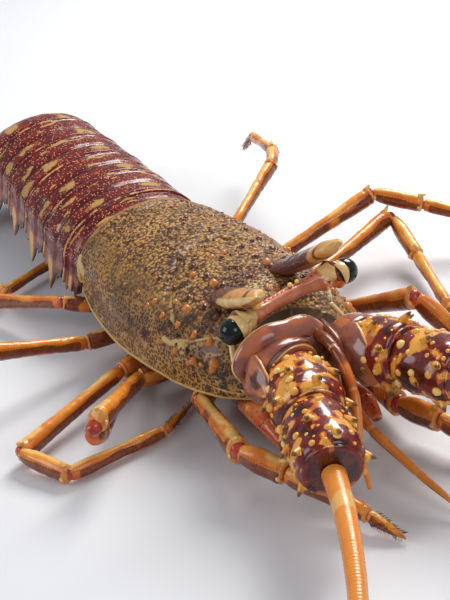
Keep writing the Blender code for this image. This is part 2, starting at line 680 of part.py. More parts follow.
def build_rod(name, points, radii, material, parts):
    """A jointed rod through a few points, thinner at each joint."""
    points = [Vector(point) for point in points]
    rings = []
    for number, (point, radius) in enumerate(zip(points, radii)):
        before, after = points[max(number - 1, 0)], points[min(number + 1, len(points) - 1)]
        rings.append(oval_ring(point, after - before, Vector((0.0, 0.0, 1.0)), radius, radius, ROD_AROUND))
    return add_object(name, loft(rings), material, parts, points[0])


def build_lobster():
    """Build every piece of the animal."""
    clear_scene()
    parts = new_collection("spiny lobster")
    cutters = new_collection("cutters")
    materials = {name: new_material(name) for name in COLOURS}
    build_carapace(materials["shell"], parts)
    build_thorax(materials["underside"], parts)
    thorax_cutter = add_object("clear_thorax", loft([thorax_ring(y, GAP) for y in thorax_levels(GAP)]),
                               materials["underside"], cutters)
    start = 0.0
    for number, length in enumerate(SOMITE_LENGTHS, 1):
        build_somite(number, start, length, materials["abdomen"], parts)
        start += length
    for lobe in TAIL_LOBES:
        if lobe[1] == 0.0:
            build_tail_lobe(lobe[0], 1, lobe, materials["abdomen"], parts)
        else:
            build_tail_lobe(lobe[0] + "_R", -1, lobe, materials["abdomen"], parts)
            build_tail_lobe(lobe[0] + "_L", 1, lobe, materials["abdomen"], parts)
    for name in LEG_POSES:
        build_leg(name, thorax_cutter, materials["leg"], parts, cutters)
    build_eyes(materials["eye"], materials["eye_bar"], parts, cutters)
    for side in ("R", "L"):
        build_antenna(side, materials["feeler"], parts, cutters)
        build_rod("antennule_" + side, ANTENNULE_PATHS[side], ANTENNULE_RADII, materials["feeler"], parts)
        build_rod("maxilliped_" + side, MAXILLIPED_PATHS[side], MAXILLIPED_RADII, materials["leg"], parts)


build_lobster()
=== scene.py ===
"""A raw European spiny lobster, whole, lying on a pale floor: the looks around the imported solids.

Formulas work in millimetres with the head towards -Y, the animal's left towards +X and the ground at z = 0.
Meshes are made in metres.
"""
import logging
import math
from dataclasses import dataclass, field
from enum import Enum

import bpy
import numpy as np
from mathutils import Matrix, Vector


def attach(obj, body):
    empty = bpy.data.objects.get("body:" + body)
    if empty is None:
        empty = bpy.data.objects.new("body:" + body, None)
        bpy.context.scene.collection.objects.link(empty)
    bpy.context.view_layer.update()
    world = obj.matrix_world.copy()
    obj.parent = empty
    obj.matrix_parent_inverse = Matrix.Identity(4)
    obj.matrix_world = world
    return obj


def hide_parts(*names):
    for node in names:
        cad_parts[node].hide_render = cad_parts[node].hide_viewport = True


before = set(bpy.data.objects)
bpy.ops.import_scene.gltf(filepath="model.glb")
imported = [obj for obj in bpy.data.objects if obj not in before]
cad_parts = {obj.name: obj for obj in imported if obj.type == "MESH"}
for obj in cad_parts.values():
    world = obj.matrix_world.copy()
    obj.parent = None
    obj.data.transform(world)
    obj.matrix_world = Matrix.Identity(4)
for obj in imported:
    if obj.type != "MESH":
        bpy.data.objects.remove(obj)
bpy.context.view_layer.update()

LOG = logging.getLogger("spiny_lobster")
MM = 0.001
UP = np.array((0.0, 0.0, 1.0))
Array = np.ndarray
Colour = tuple[float, float, float]
Socket = bpy.types.NodeSocket

# Large odd numbers that scatter the bits of a cell's place and of its seed
CELL_STEPS = (73856093, 19349663, 83492791)
SEED_STEP = 26544357
BIT_MIXER = 1274126177

# Sockets of a Mix node that blends colours
FIRST_COLOUR, SECOND_COLOUR, BLENDED_COLOUR = 6, 7, 2


def srgb(red: int, green: int, blue: int) -> Colour:
    """Turn a screen colour from 0 to 255 into a linear one."""
    return tuple(((v / 255 + 0.055) / 1.055) ** 2.4 if v > 10 else v / 3294.6 for v in (red, green, blue))


def mix(low: float | Array, high: float | Array, share: float | Array) -> float | Array:
    """A value between two others."""
    return low + (high - low) * share


def ease(low: float, high: float, value: float | Array) -> float | Array:
    """A soft step from 0 at low to 1 at high."""
    share = np.clip((value - low) / (high - low), 0.0, 1.0)
    return share * share * (3 - 2 * share)


def hump(value: float | Array, centre: float, width: float) -> float | Array:
    """A bell of height 1 at centre that fades over width."""
    return np.exp(-(((value - centre) / width) ** 2))


def chart_distance(y: Array, turn: Array, line: tuple, scale: float) -> Array:
    """Distance on a shell's own chart to a line.

    Args:
        y: first chart coordinate in millimetres.
        turn: second chart coordinate in degrees.
        line: corners of the line as (y, turn).
        scale: millimetres for one degree.

    Returns:
        The distance in millimetres for each place.
    """
    nearest = np.full(np.shape(y), 1e3)
    for (y0, t0), (y1, t1) in zip(line, line[1:]):
        along_y, along_t = y1 - y0, (t1 - t0) * scale
        to_y, to_t = y - y0, (turn - t0) * scale
        share = np.clip((to_y * along_y + to_t * along_t) / (along_y ** 2 + along_t ** 2), 0.0, 1.0)
        nearest = np.minimum(nearest, np.hypot(to_y - share * along_y, to_t - share * along_t))
    return nearest


def unit(vectors: Array) -> Array:
    """Vectors at length 1."""
    return vectors / np.maximum(np.linalg.norm(vectors, axis=-1, keepdims=True), 1e-9)


def curve_through(table: Array, places: Array) -> Array:
    """Smooth values through a table.

    Args:
        table: rows of (place, value, value, ...) in rising order.
        places: where to read it.

    Returns:
        One row of values for each place.
    """
    table = np.asarray(table, float)
    known, values = table[:, 0], table[:, 1:]
    slopes = np.gradient(values, known, axis=0)
    places = np.clip(places, known[0], known[-1])
    low = np.clip(np.searchsorted(known, places) - 1, 0, len(known) - 2)
    span = (known[low + 1] - known[low])[:, None]
    t = (places - known[low])[:, None] / span
    return ((2 * t ** 3 - 3 * t ** 2 + 1) * values[low] + (t ** 3 - 2 * t ** 2 + t) * span * slopes[low]
            + (3 * t ** 2 - 2 * t ** 3) * values[low + 1] + (t ** 3 - t ** 2) * span * slopes[low + 1])


def lattice(cells: Array, seed: int) -> Array:
    """Repeatable values from 0 to 1 for whole-number cells.

    Args:
        cells: whole-number places.
        seed: which set of values.

    Returns:
        One value for each cell.
    """
    x, y, z = (cells[..., axis].astype(np.int64) * step for axis, step in enumerate(CELL_STEPS))
    mixed = x ^ y ^ z ^ (seed + 1) * SEED_STEP
    mixed = ((mixed ^ (mixed >> 13)) * BIT_MIXER) & 0x7FFFFFFF
    return ((mixed ^ (mixed >> 16)) & 0xFFFF) / 65535.0


def noise(points: Array, size: float, seed: int = 0) -> Array:
    """Smooth noise from -1 to 1.

    Args:
        points: places in millimetres.
        size: the width of one wave in millimetres.
        seed: which noise.

    Returns:
        One value for each point.
    """
    scaled = points / size
    base = np.floor(scaled)
    part = scaled - base
    part = part * part * (3 - 2 * part)
    total = 0.0
    for x in (0, 1):
        for y in (0, 1):
            for z in (0, 1):
                weight = (np.abs(1 - x - part[..., 0]) * np.abs(1 - y - part[..., 1])
                          * np.abs(1 - z - part[..., 2]))
                total = total + weight * lattice(base + (x, y, z), seed)
    return total * 2 - 1


def grains(points: Array, size: float, seed: int = 0) -> tuple[Array, Array]:
    """Round grains scattered through space.

    Args:
        points: places in millimetres.
        size: spacing of the grains in millimetres.
        seed: which scatter.

    Returns:
        Distance to the nearest grain as a share of the spacing, and that grain's own value from 0 to 1.
    """
    scaled = points / size
    base = np.floor(scaled)
    nearest = np.full(points.shape[:-1], 9.0)
    own = np.zeros(points.shape[:-1])
    for x in (-1, 0, 1):
        for y in (-1, 0, 1):
            for z in (-1, 0, 1):
                cell = base + (x, y, z)
                middle = cell + np.stack([lattice(cell, seed + k) for k in (11, 12, 13)], -1)
                distance = np.linalg.norm(scaled - middle, axis=-1)
                closer = distance < nearest
                nearest = np.where(closer, distance, nearest)
                own = np.where(closer, lattice(cell, seed + 14), own)
    return nearest, own


def surface_normals(grid: Array) -> Array:
    """Directions square to an open grid of points."""
    return unit(np.cross(np.gradient(grid, axis=1), np.gradient(grid, axis=0)))


def add_object(name: str, data: bpy.types.ID) -> bpy.types.Object:
    """A new object in the scene."""
    piece = bpy.data.objects.new(name, data)
    bpy.context.scene.collection.objects.link(piece)
    return piece


def store(mesh: bpy.types.Mesh, name: str, values: Array) -> None:
    """Keep values on a mesh.

    Args:
        mesh: the mesh.
        name: what the values are called.
        values: one number, or one row of three, for each point.
    """
    kind, slot = ("FLOAT_VECTOR", "vector") if np.ndim(values) > 1 else ("FLOAT", "value")
    layer = mesh.attributes.new(name, kind, "POINT")
    layer.data.foreach_set(slot, np.asarray(values, np.float32).reshape(-1))


def new_mesh(name: str, vertices: Array, faces: list, masks: dict[str, Array]) -> bpy.types.Object:
    """Make an object from points in millimetres.

    Args:
        name: the piece's name.
        vertices: one row for each point.
        faces: lists of point numbers.
        masks: named values for each point, which the finishes read.

    Returns:
        The new object, with its faces pointing outwards.
    """
    mesh = bpy.data.meshes.new(name)
    mesh.from_pydata((vertices * MM).tolist(), [], faces)
    for key, values in masks.items():
        store(mesh, key, values)
    mesh.shade_smooth()
    mesh.validate()
    return add_object(name, mesh)


def enclosed(vertices: Array, faces: list) -> float:
    """Six times the signed volume inside triangles and quads.

    Args:
        vertices: one row for each point.
        faces: lists of three or four point numbers.

    Returns:
        A number above 0 where the faces point outwards.
    """
    total = 0.0
    quads = np.array([face for face in faces if len(face) == 4], int).reshape(-1, 4)
    triangles = np.array([face for face in faces if len(face) == 3], int).reshape(-1, 3)
    for a, b, c in ((quads[:, 0], quads[:, 1], quads[:, 2]), (quads[:, 0], quads[:, 2], quads[:, 3]),
                    (triangles[:, 0], triangles[:, 1], triangles[:, 2])):
        total += float(np.einsum("ij,ij->i", vertices[a], np.cross(vertices[b], vertices[c])).sum())
    return total


def grid_faces(rows: int, columns: int) -> list:
    """Faces of a tube of points, whose two cap points follow the last row.

    Args:
        rows: sections along the tube.
        columns: points round each section.

    Returns:
        Lists of point numbers.
    """
    faces = []
    for row in range(rows - 1):
        for column in range(columns):
            after = (column + 1) % columns
            low, high = row * columns, (row + 1) * columns
            faces.append([low + column, low + after, high + after, high + column])
    last, start, end = (rows - 1) * columns, rows * columns, rows * columns + 1
    for column in range(columns):
        after = (column + 1) % columns
        faces.append([after, column, start])
        faces.append([last + column, last + after, end])
    return faces


def tube_object(name: str, tubes: list[tuple[Array, dict[str, Array]]]) -> bpy.types.Object:
    """One object from closed tubes.

    Args:
        name: the piece's name.
        tubes: for each tube a grid of points, rows along it and columns round it, and its masks.

    Returns:
        The new object.
    """
    points, faces, masks, count = [], [], {}, 0
    keys = sorted({key for _, own in tubes for key in own})
    for grid, own in tubes:
        rows, columns = grid.shape[:2]
        ends = np.stack([grid[0].mean(0), grid[-1].mean(0)])
        vertices = np.concatenate([grid.reshape(-1, 3), ends])
        new_faces = grid_faces(rows, columns)
        if enclosed(vertices, new_faces) < 0:
            new_faces = [face[::-1] for face in new_faces]
        faces += [[count + number for number in face] for face in new_faces]
        points.append(vertices)
        for key in keys:
            values = np.broadcast_to(own.get(key, 0.0), (rows, columns))
            masks.setdefault(key, []).append(
                np.concatenate([values.reshape(-1), [values[0].mean(), values[-1].mean()]]))
        count += len(vertices)
    return new_mesh(name, np.concatenate(points), faces,
                    {key: np.concatenate(values) for key, values in masks.items()})


def sweep(path: Array, half_widths: Array, half_heights: Array, around: int,
          up: Array = UP) -> tuple[Array, Array]:
    """Oval sections along a path.

    Args:
        path: centres of the sections.
        half_widths: half size to the side of the path.
        half_heights: half size along up.
        around: points in each section.
        up: roughly which way is up.

    Returns:
        The grid of points, and the angle of each column in radians, a quarter turn being the top.
    """
    axis = unit(np.gradient(path, axis=0))
    side = unit(np.cross(axis, up))
    rise = unit(np.cross(side, axis))
    angles = np.linspace(0.0, 2 * math.pi, around, endpoint=False)
    grid = (path[:, None, :] + side[:, None, :] * (half_widths[:, None] * np.cos(angles))[..., None]
            + rise[:, None, :] * (half_heights[:, None] * np.sin(angles))[..., None])
    return grid, angles


def raised(grid: Array, path: Array, height: Array) -> Array:
    """Sections of a sweep with their points moved away from its path."""
    return grid + unit(grid - path[:, None, :]) * height[..., None]


def smooth_path(points: list, count: int) -> Array:
    """A smooth path through a few points.

    Args:
        points: the places it runs through.
        count: how many points it gets, evenly spread.

    Returns:
        One row for each point.
    """
    points = np.asarray(points, float)
    lengths = np.concatenate([[0.0], np.cumsum(np.linalg.norm(np.diff(points, axis=0), axis=1))])
    table = np.concatenate([lengths[:, None], points], 1)
    return curve_through(table, np.linspace(0.0, lengths[-1], count))


class Slot(Enum):
    """Material slots of the record."""

    SHELL = "shell"
    UNDERSIDE = "underside"
    ABDOMEN = "abdomen"
    LEG = "leg"
    FEELER = "feeler"
    EYE = "eye"
    EYE_BAR = "eye_bar"


def fill(tree: bpy.types.NodeTree, node: bpy.types.Node, sockets: dict) -> None:
    """Set a node's inputs.

    Args:
        tree: the node's tree.
        node: the node.
        sockets: for each input's name or number a socket to link, a colour or a plain value.
    """
    for key, value in sockets.items():
        socket = node.inputs[key]
        if isinstance(value, Socket):
            tree.links.new(value, socket)
        else:
            socket.default_value = (*value, 1.0) if socket.type == "RGBA" else value


def add_node(tree: bpy.types.NodeTree, kind: str, sockets: dict | None = None,
             **settings: str) -> bpy.types.Node:
    """Add a node to a tree.

    Args:
        tree: where it goes.
        kind: its type.
        sockets: what its inputs get, as in fill.
        settings: its own options.

    Returns:
        The node.
    """
    node = tree.nodes.new(kind)
    for key, value in settings.items():
        setattr(node, key, value)
    fill(tree, node, sockets or {})
    return node


class Sheet:
    """Adds shader nodes to one material."""

    def __init__(self, name: str) -> None:
        """Start a material that holds only a Principled shader.

        Args:
            name: the material's name.
        """
        self.material = bpy.data.materials.new(name)
        self.material.use_nodes = True
        self.tree = self.material.node_tree
        self.place = add_node(self.tree, "ShaderNodeTexCoord").outputs["Object"]

    def coat(self, sockets: dict) -> bpy.types.Material:
        """Set the Principled shader's inputs and hand over the material."""
        fill(self.tree, self.tree.nodes["Principled BSDF"], sockets)
        return self.material

    def noise(self, size: float, detail: float = 3.0) -> Socket:
        """Noise from 0 to 1 with waves of a size in millimetres."""
        sockets = {"Scale": 1.0 / (size * MM), "Detail": detail, "Vector": self.place}
        return add_node(self.tree, "ShaderNodeTexNoise", sockets).outputs["Fac"]

    def dots(self, size: float, randomness: float = 1.0) -> Socket:
        """Distance to the nearest of many points a size in millimetres apart."""
        sockets = {"Scale": 1.0 / (size * MM), "Randomness": randomness, "Vector": self.place}
        return add_node(self.tree, "ShaderNodeTexVoronoi", sockets).outputs["Distance"]

    def mask(self, name: str) -> Socket:
        """A piece's own named values."""
        return add_node(self.tree, "ShaderNodeAttribute", attribute_name=name).outputs["Fac"]

    def math(self, kind: str, first: object, second: object) -> Socket:
        """One sum on two sockets or numbers."""
        return add_node(self.tree, "ShaderNodeMath", {0: first, 1: second}, operation=kind).outputs[0]

    def step(self, value: object, low: float, high: float, start: float = 0.0, end: float = 1.0) -> Socket:
        """A soft step from start to end as a value goes from low to high."""
        sockets = {"Value": value, "From Min": low, "From Max": high, "To Min": start, "To Max": end}
        node = add_node(self.tree, "ShaderNodeMapRange", sockets, interpolation_type="SMOOTHSTEP")
        return node.outputs["Result"]

    def blend(self, factor: object, first: object, second: object) -> Socket:
        """Two colours mixed by a factor, which is 0 for the first and 1 for the second."""
        sockets = {"Factor": factor, FIRST_COLOUR: first, SECOND_COLOUR: second}
        return add_node(self.tree, "ShaderNodeMix", sockets, data_type="RGBA").outputs[BLENDED_COLOUR]


@dataclass(frozen=True)
class ShellFinish:
    """Wet shell in layers that follow a piece's masks.

    The masks are pale, dark, warm and olive for coloured areas and fleck for small dots.
    """

    name: str
    slot: Slot
    base: Colour
    second: Colour
    pale: Colour
    dark: Colour
    warm: Colour
    olive: Colour = srgb(150, 122, 70)
    fleck: Colour = srgb(232, 190, 130)
    fleck_size: float = 2.2
    fleck_reach: float = 0.20
    mottle: float = 7.0
    ragged: float = 0.45
    roughness: tuple[float, float] = (0.22, 0.42)
    specular: float = 0.25
    coat: float = 0.35
    coat_roughness: float = 0.12
    glow: float = 0.0
    bump_size: float = 0.9
    bump_height: float = 0.10
    bump_strength: float = 0.6
    fine_share: float = 0.22
    mottle_limits: tuple[float, float] = (0.38, 0.62)
    mask_limits: tuple[float, float] = (0.3, 0.7)
    unevenness: float = 0.35
    glow_radius: tuple[float, float, float] = (0.004, 0.0018, 0.001)

    def material(self) -> bpy.types.Material:
        """Build the shader nodes.

        Returns:
            The finished material.
        """
        sheet = Sheet(self.name)
        wide, fine = sheet.noise(self.mottle), sheet.noise(self.mottle * self.fine_share, 4.0)
        edge = sheet.math("MULTIPLY", sheet.math("SUBTRACT", fine, 0.5), self.ragged)
        colour = sheet.blend(sheet.step(wide, *self.mottle_limits), self.base, self.second)
        tints = {"olive": self.olive, "warm": self.warm, "dark": self.dark, "pale": self.pale}
        for mask, tint in tints.items():
            amount = sheet.step(sheet.math("ADD", sheet.mask(mask), edge), *self.mask_limits)
            tinted = sheet.blend(sheet.math("MULTIPLY", fine, self.unevenness), tint, colour)
            colour = sheet.blend(amount, colour, tinted)
        spot = sheet.step(sheet.dots(self.fleck_size), self.fleck_reach, self.fleck_reach * 0.55)
        colour = sheet.blend(sheet.math("MULTIPLY", spot, sheet.mask("fleck")), colour, self.fleck)
        colour, height = self.grain(sheet, colour)
        bump = add_node(sheet.tree, "ShaderNodeBump", {
            "Strength": self.bump_strength, "Distance": self.bump_height * MM, "Height": height})
        if self.glow:
            sheet.coat({"Subsurface Weight": self.glow, "Subsurface Radius": self.glow_radius,
                        "Subsurface Scale": 1.0})
        return sheet.coat({
            "Base Color": colour,
            "Roughness": sheet.step(fine, *self.mask_limits, *self.roughness),
            "Specular IOR Level": self.specular,
            "Coat Weight": self.coat,
            "Coat Roughness": self.coat_roughness,
            "Normal": bump.outputs["Normal"]})

    def grain(self, sheet: Sheet, colour: Socket) -> tuple[Socket, Socket]:
        """The finest pattern: its colour and its height."""
        return colour, sheet.noise(self.bump_size, 5.0)


@dataclass(frozen=True)
class GranularFinish(ShellFinish):
    """Rough shell: dark pits where the mask crust is 0, golden grains where it is 1, none if smooth."""

    pit: Colour = srgb(48, 28, 18)
    pit_size: float = 1.35
    grain_size: float = 1.5
    gap: Colour = srgb(58, 30, 18)
    grain_tint: Colour = srgb(226, 174, 88)
    pit_limits: tuple[float, float] = (0.56, 0.40)
    grain_limits: tuple[float, float] = (0.42, 0.15)
    gap_limits: tuple[float, float] = (0.46, 0.66)
    grain_strength: float = 0.6
    pit_strength: float = 0.85

    def grain(self, sheet: Sheet, colour: Socket) -> tuple[Socket, Socket]:
        """Pits and grains, each in its own area.

        Args:
            sheet: the material being built.
            colour: the colour below the pattern.

        Returns:
            The patterned colour and the height.
        """
        rough = sheet.math("SUBTRACT", 1.0, sheet.mask("smooth"))
        crust = sheet.math("MULTIPLY", sheet.mask("crust"), rough)
        side = sheet.math("SUBTRACT", rough, crust)
        pit = sheet.math("MULTIPLY", sheet.step(sheet.dots(self.pit_size, 0.75), *self.pit_limits), side)
        cells = sheet.dots(self.grain_size)
        top = sheet.math("MULTIPLY", sheet.step(cells, *self.grain_limits), crust)
        between = sheet.math("MULTIPLY", sheet.step(cells, *self.gap_limits), crust)
        colour = sheet.blend(sheet.math("MULTIPLY", top, self.grain_strength), colour, self.grain_tint)
        colour = sheet.blend(sheet.math("MULTIPLY", between, self.pit_strength), colour, self.gap)
        colour = sheet.blend(sheet.math("MULTIPLY", pit, self.pit_strength), colour, self.pit)
        return colour, sheet.math("SUBTRACT", top, sheet.math("ADD", pit, between))


@dataclass(frozen=True)
class EyeFinish:
    """Glossy black-green eye."""

    name: str = "eye_glass"
    slot: Slot = Slot.EYE
    deep: Colour = srgb(8, 12, 10)
    green: Colour = srgb(30, 50, 38)
    roughness: float = 0.05
    coat: float = 0.25
    coat_roughness: float = 0.03
    specular: float = 0.25

    def material(self) -> bpy.types.Material:
        """Build the shader nodes.

        Returns:
            The finished material.
        """
        sheet = Sheet(self.name)
        colour = sheet.blend(sheet.step(sheet.noise(5.0), 0.35, 0.75), self.deep, self.green)
        return sheet.coat({"Base Color": colour, "Roughness": self.roughness, "Coat Weight": self.coat,
                           "Coat Roughness": self.coat_roughness, "Specular IOR Level": self.specular})


CARAPACE_FINISH = GranularFinish(
    "carapace_shell", Slot.SHELL, base=srgb(174, 128, 72), second=srgb(136, 98, 56),
    pale=srgb(206, 178, 118), dark=srgb(44, 24, 16), warm=srgb(182, 130, 58), olive=srgb(100, 62, 50),
    mottle=12.0, bump_size=0.7, bump_height=0.4, coat=0.18, coat_roughness=0.18, roughness=(0.4, 0.55))
SPINE_FINISH = ShellFinish(
    "carapace_spine", Slot.SHELL, base=srgb(104, 46, 22), second=srgb(84, 34, 18), pale=srgb(232, 178, 100),
    dark=srgb(48, 16, 12), warm=srgb(218, 134, 56), mottle=6.0, coat=0.5, coat_roughness=0.12,
    roughness=(0.25, 0.4), bump_height=0.03)
HORN_FINISH = ShellFinish(
    "horn_shell", Slot.SHELL, base=srgb(94, 50, 44), second=srgb(76, 38, 36), pale=srgb(232, 200, 136),
    dark=srgb(72, 18, 14), warm=srgb(222, 158, 70), olive=srgb(164, 112, 84), fleck=srgb(168, 116, 88),
    fleck_size=0.9, fleck_reach=0.34, mottle=5.0, coat=0.45, roughness=(0.26, 0.4))
ABDOMEN_FINISH = ShellFinish(
    "abdomen_shell", Slot.ABDOMEN, base=srgb(112, 20, 16), second=srgb(84, 14, 16), pale=srgb(222, 172, 104),
    dark=srgb(40, 10, 12), warm=srgb(146, 92, 76), olive=srgb(190, 150, 82), fleck=srgb(222, 150, 104),
    fleck_size=1.3, fleck_reach=0.33, mottle=6.0, ragged=0.9, coat=0.3, coat_roughness=0.07,
    roughness=(0.24, 0.4), bump_height=0.06)
FAN_FINISH = ShellFinish(
    "fan_shell", Slot.ABDOMEN, base=srgb(112, 24, 18), second=srgb(88, 18, 18), pale=srgb(206, 140, 84),
    dark=srgb(44, 12, 12), warm=srgb(150, 66, 40), olive=srgb(190, 150, 82), fleck=srgb(222, 150, 104),
    fleck_size=1.3, fleck_reach=0.33, mottle=6.0, ragged=0.9, coat=0.0, specular=0.12, roughness=(0.5, 0.62),
    bump_height=0.06)
LEG_FINISH = ShellFinish(
    "leg_shell", Slot.LEG, base=srgb(232, 152, 54), second=srgb(216, 126, 42), pale=srgb(236, 196, 116),
    dark=srgb(84, 18, 14), warm=srgb(196, 84, 30), fleck=srgb(242, 200, 124), fleck_size=1.6, mottle=8.0,
    ragged=0.3, coat=0.4, coat_roughness=0.1, roughness=(0.2, 0.36), bump_height=0.05)
MOUTH_FINISH = ShellFinish(
    "mouth_shell", Slot.LEG, base=srgb(206, 106, 54), second=srgb(226, 140, 72), pale=srgb(238, 204, 140),
    dark=srgb(120, 34, 22), warm=srgb(212, 92, 46), fleck=srgb(150, 30, 20), fleck_size=1.8, fleck_reach=0.3,
    mottle=5.0, ragged=0.6, coat=0.4, roughness=(0.2, 0.36), bump_height=0.05)
MEMBRANE_FINISH = ShellFinish(
    "joint_membrane", Slot.LEG, base=srgb(186, 62, 32), second=srgb(150, 38, 24), pale=srgb(232, 180, 130),
    dark=srgb(110, 28, 24), warm=srgb(214, 110, 60), mottle=3.0, coat=0.8, coat_roughness=0.08, glow=0.2)
PEDUNCLE_FINISH = ShellFinish(
    "antenna_shell", Slot.FEELER, base=srgb(124, 30, 18), second=srgb(94, 22, 18), pale=srgb(236, 194, 114),
    dark=srgb(48, 14, 12), warm=srgb(234, 170, 68), olive=srgb(202, 104, 40), fleck=srgb(126, 56, 24),
    fleck_size=2.1, fleck_reach=0.22, mottle=5.0, ragged=0.8, coat=0.6, coat_roughness=0.08,
    roughness=(0.18, 0.32))
TUBERCLE_FINISH = ShellFinish(
    "antenna_tubercle", Slot.FEELER, base=srgb(224, 150, 58), second=srgb(212, 132, 46),
    pale=srgb(246, 208, 122), dark=srgb(40, 16, 12), warm=srgb(234, 170, 70), mottle=5.0, ragged=0.2,
    coat=0.6, coat_roughness=0.1, roughness=(0.2, 0.32), bump_height=0.02)
PLATE_FINISH = ShellFinish(
    "head_plate", Slot.FEELER, base=srgb(158, 96, 78), second=srgb(138, 80, 70), pale=srgb(234, 194, 124),
    dark=srgb(60, 26, 22), warm=srgb(206, 122, 66), olive=srgb(190, 108, 66), mottle=9.0, ragged=0.2,
    coat=0.65, coat_roughness=0.06, roughness=(0.16, 0.28), bump_height=0.03, glow=0.12)
WHIP_FINISH = ShellFinish(
    "whip_shell", Slot.FEELER, base=srgb(216, 120, 42), second=srgb(196, 94, 34), pale=srgb(230, 180, 104),
    dark=srgb(96, 34, 22), warm=srgb(232, 144, 54), mottle=10.0, coat=0.5)
BAR_FINISH = ShellFinish(
    "eye_bar_shell", Slot.EYE_BAR, base=srgb(214, 138, 104), second=srgb(194, 112, 80),
    pale=srgb(234, 202, 134), dark=srgb(112, 46, 26), warm=srgb(222, 128, 50), olive=srgb(198, 170, 108),
    mottle=5.0, ragged=0.3, coat=0.8, coat_roughness=0.06, roughness=(0.16, 0.28), bump_height=0.03,
    glow=0.15)
BELLY_FINISH = ShellFinish(
    "underside_shell", Slot.UNDERSIDE, base=srgb(190, 130, 84), second=srgb(160, 90, 60),
    pale=srgb(228, 200, 150), dark=srgb(96, 36, 28), warm=srgb(184, 84, 50), mottle=9.0)
EYE_FINISH = EyeFinish()
FINISHES = (
    CARAPACE_FINISH, SPINE_FINISH, HORN_FINISH, ABDOMEN_FINISH, FAN_FINISH, LEG_FINISH, MOUTH_FINISH,
    MEMBRANE_FINISH, PEDUNCLE_FINISH, TUBERCLE_FINISH, PLATE_FINISH, WHIP_FINISH, BAR_FINISH, BELLY_FINISH,
    EYE_FINISH)
MATERIALS = {finish.name: finish.material() for finish in FINISHES}


def dress(piece: bpy.types.Object, finish: ShellFinish | EyeFinish, *nodes: str) -> bpy.types.Object:
    """Finish a piece and place it in the model.

    Args:
        piece: the new piece.
        finish: what it is coated in.
        nodes: the CAD nodes that it stands for.

    Returns:
        The same piece.
    """
    piece.data.materials.clear()
    piece.data.materials.append(MATERIALS[finish.name])
    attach(piece, "root")
    if nodes:
        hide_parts(*nodes)
    LOG.info("%s: %d faces", piece.name, len(piece.data.polygons))
    return piece


class ScatterForm(Enum):
    """What stands at each scattered place."""

    BEAD = "bead"
    SPINE = "spine"
    BRISTLE = "bristle"


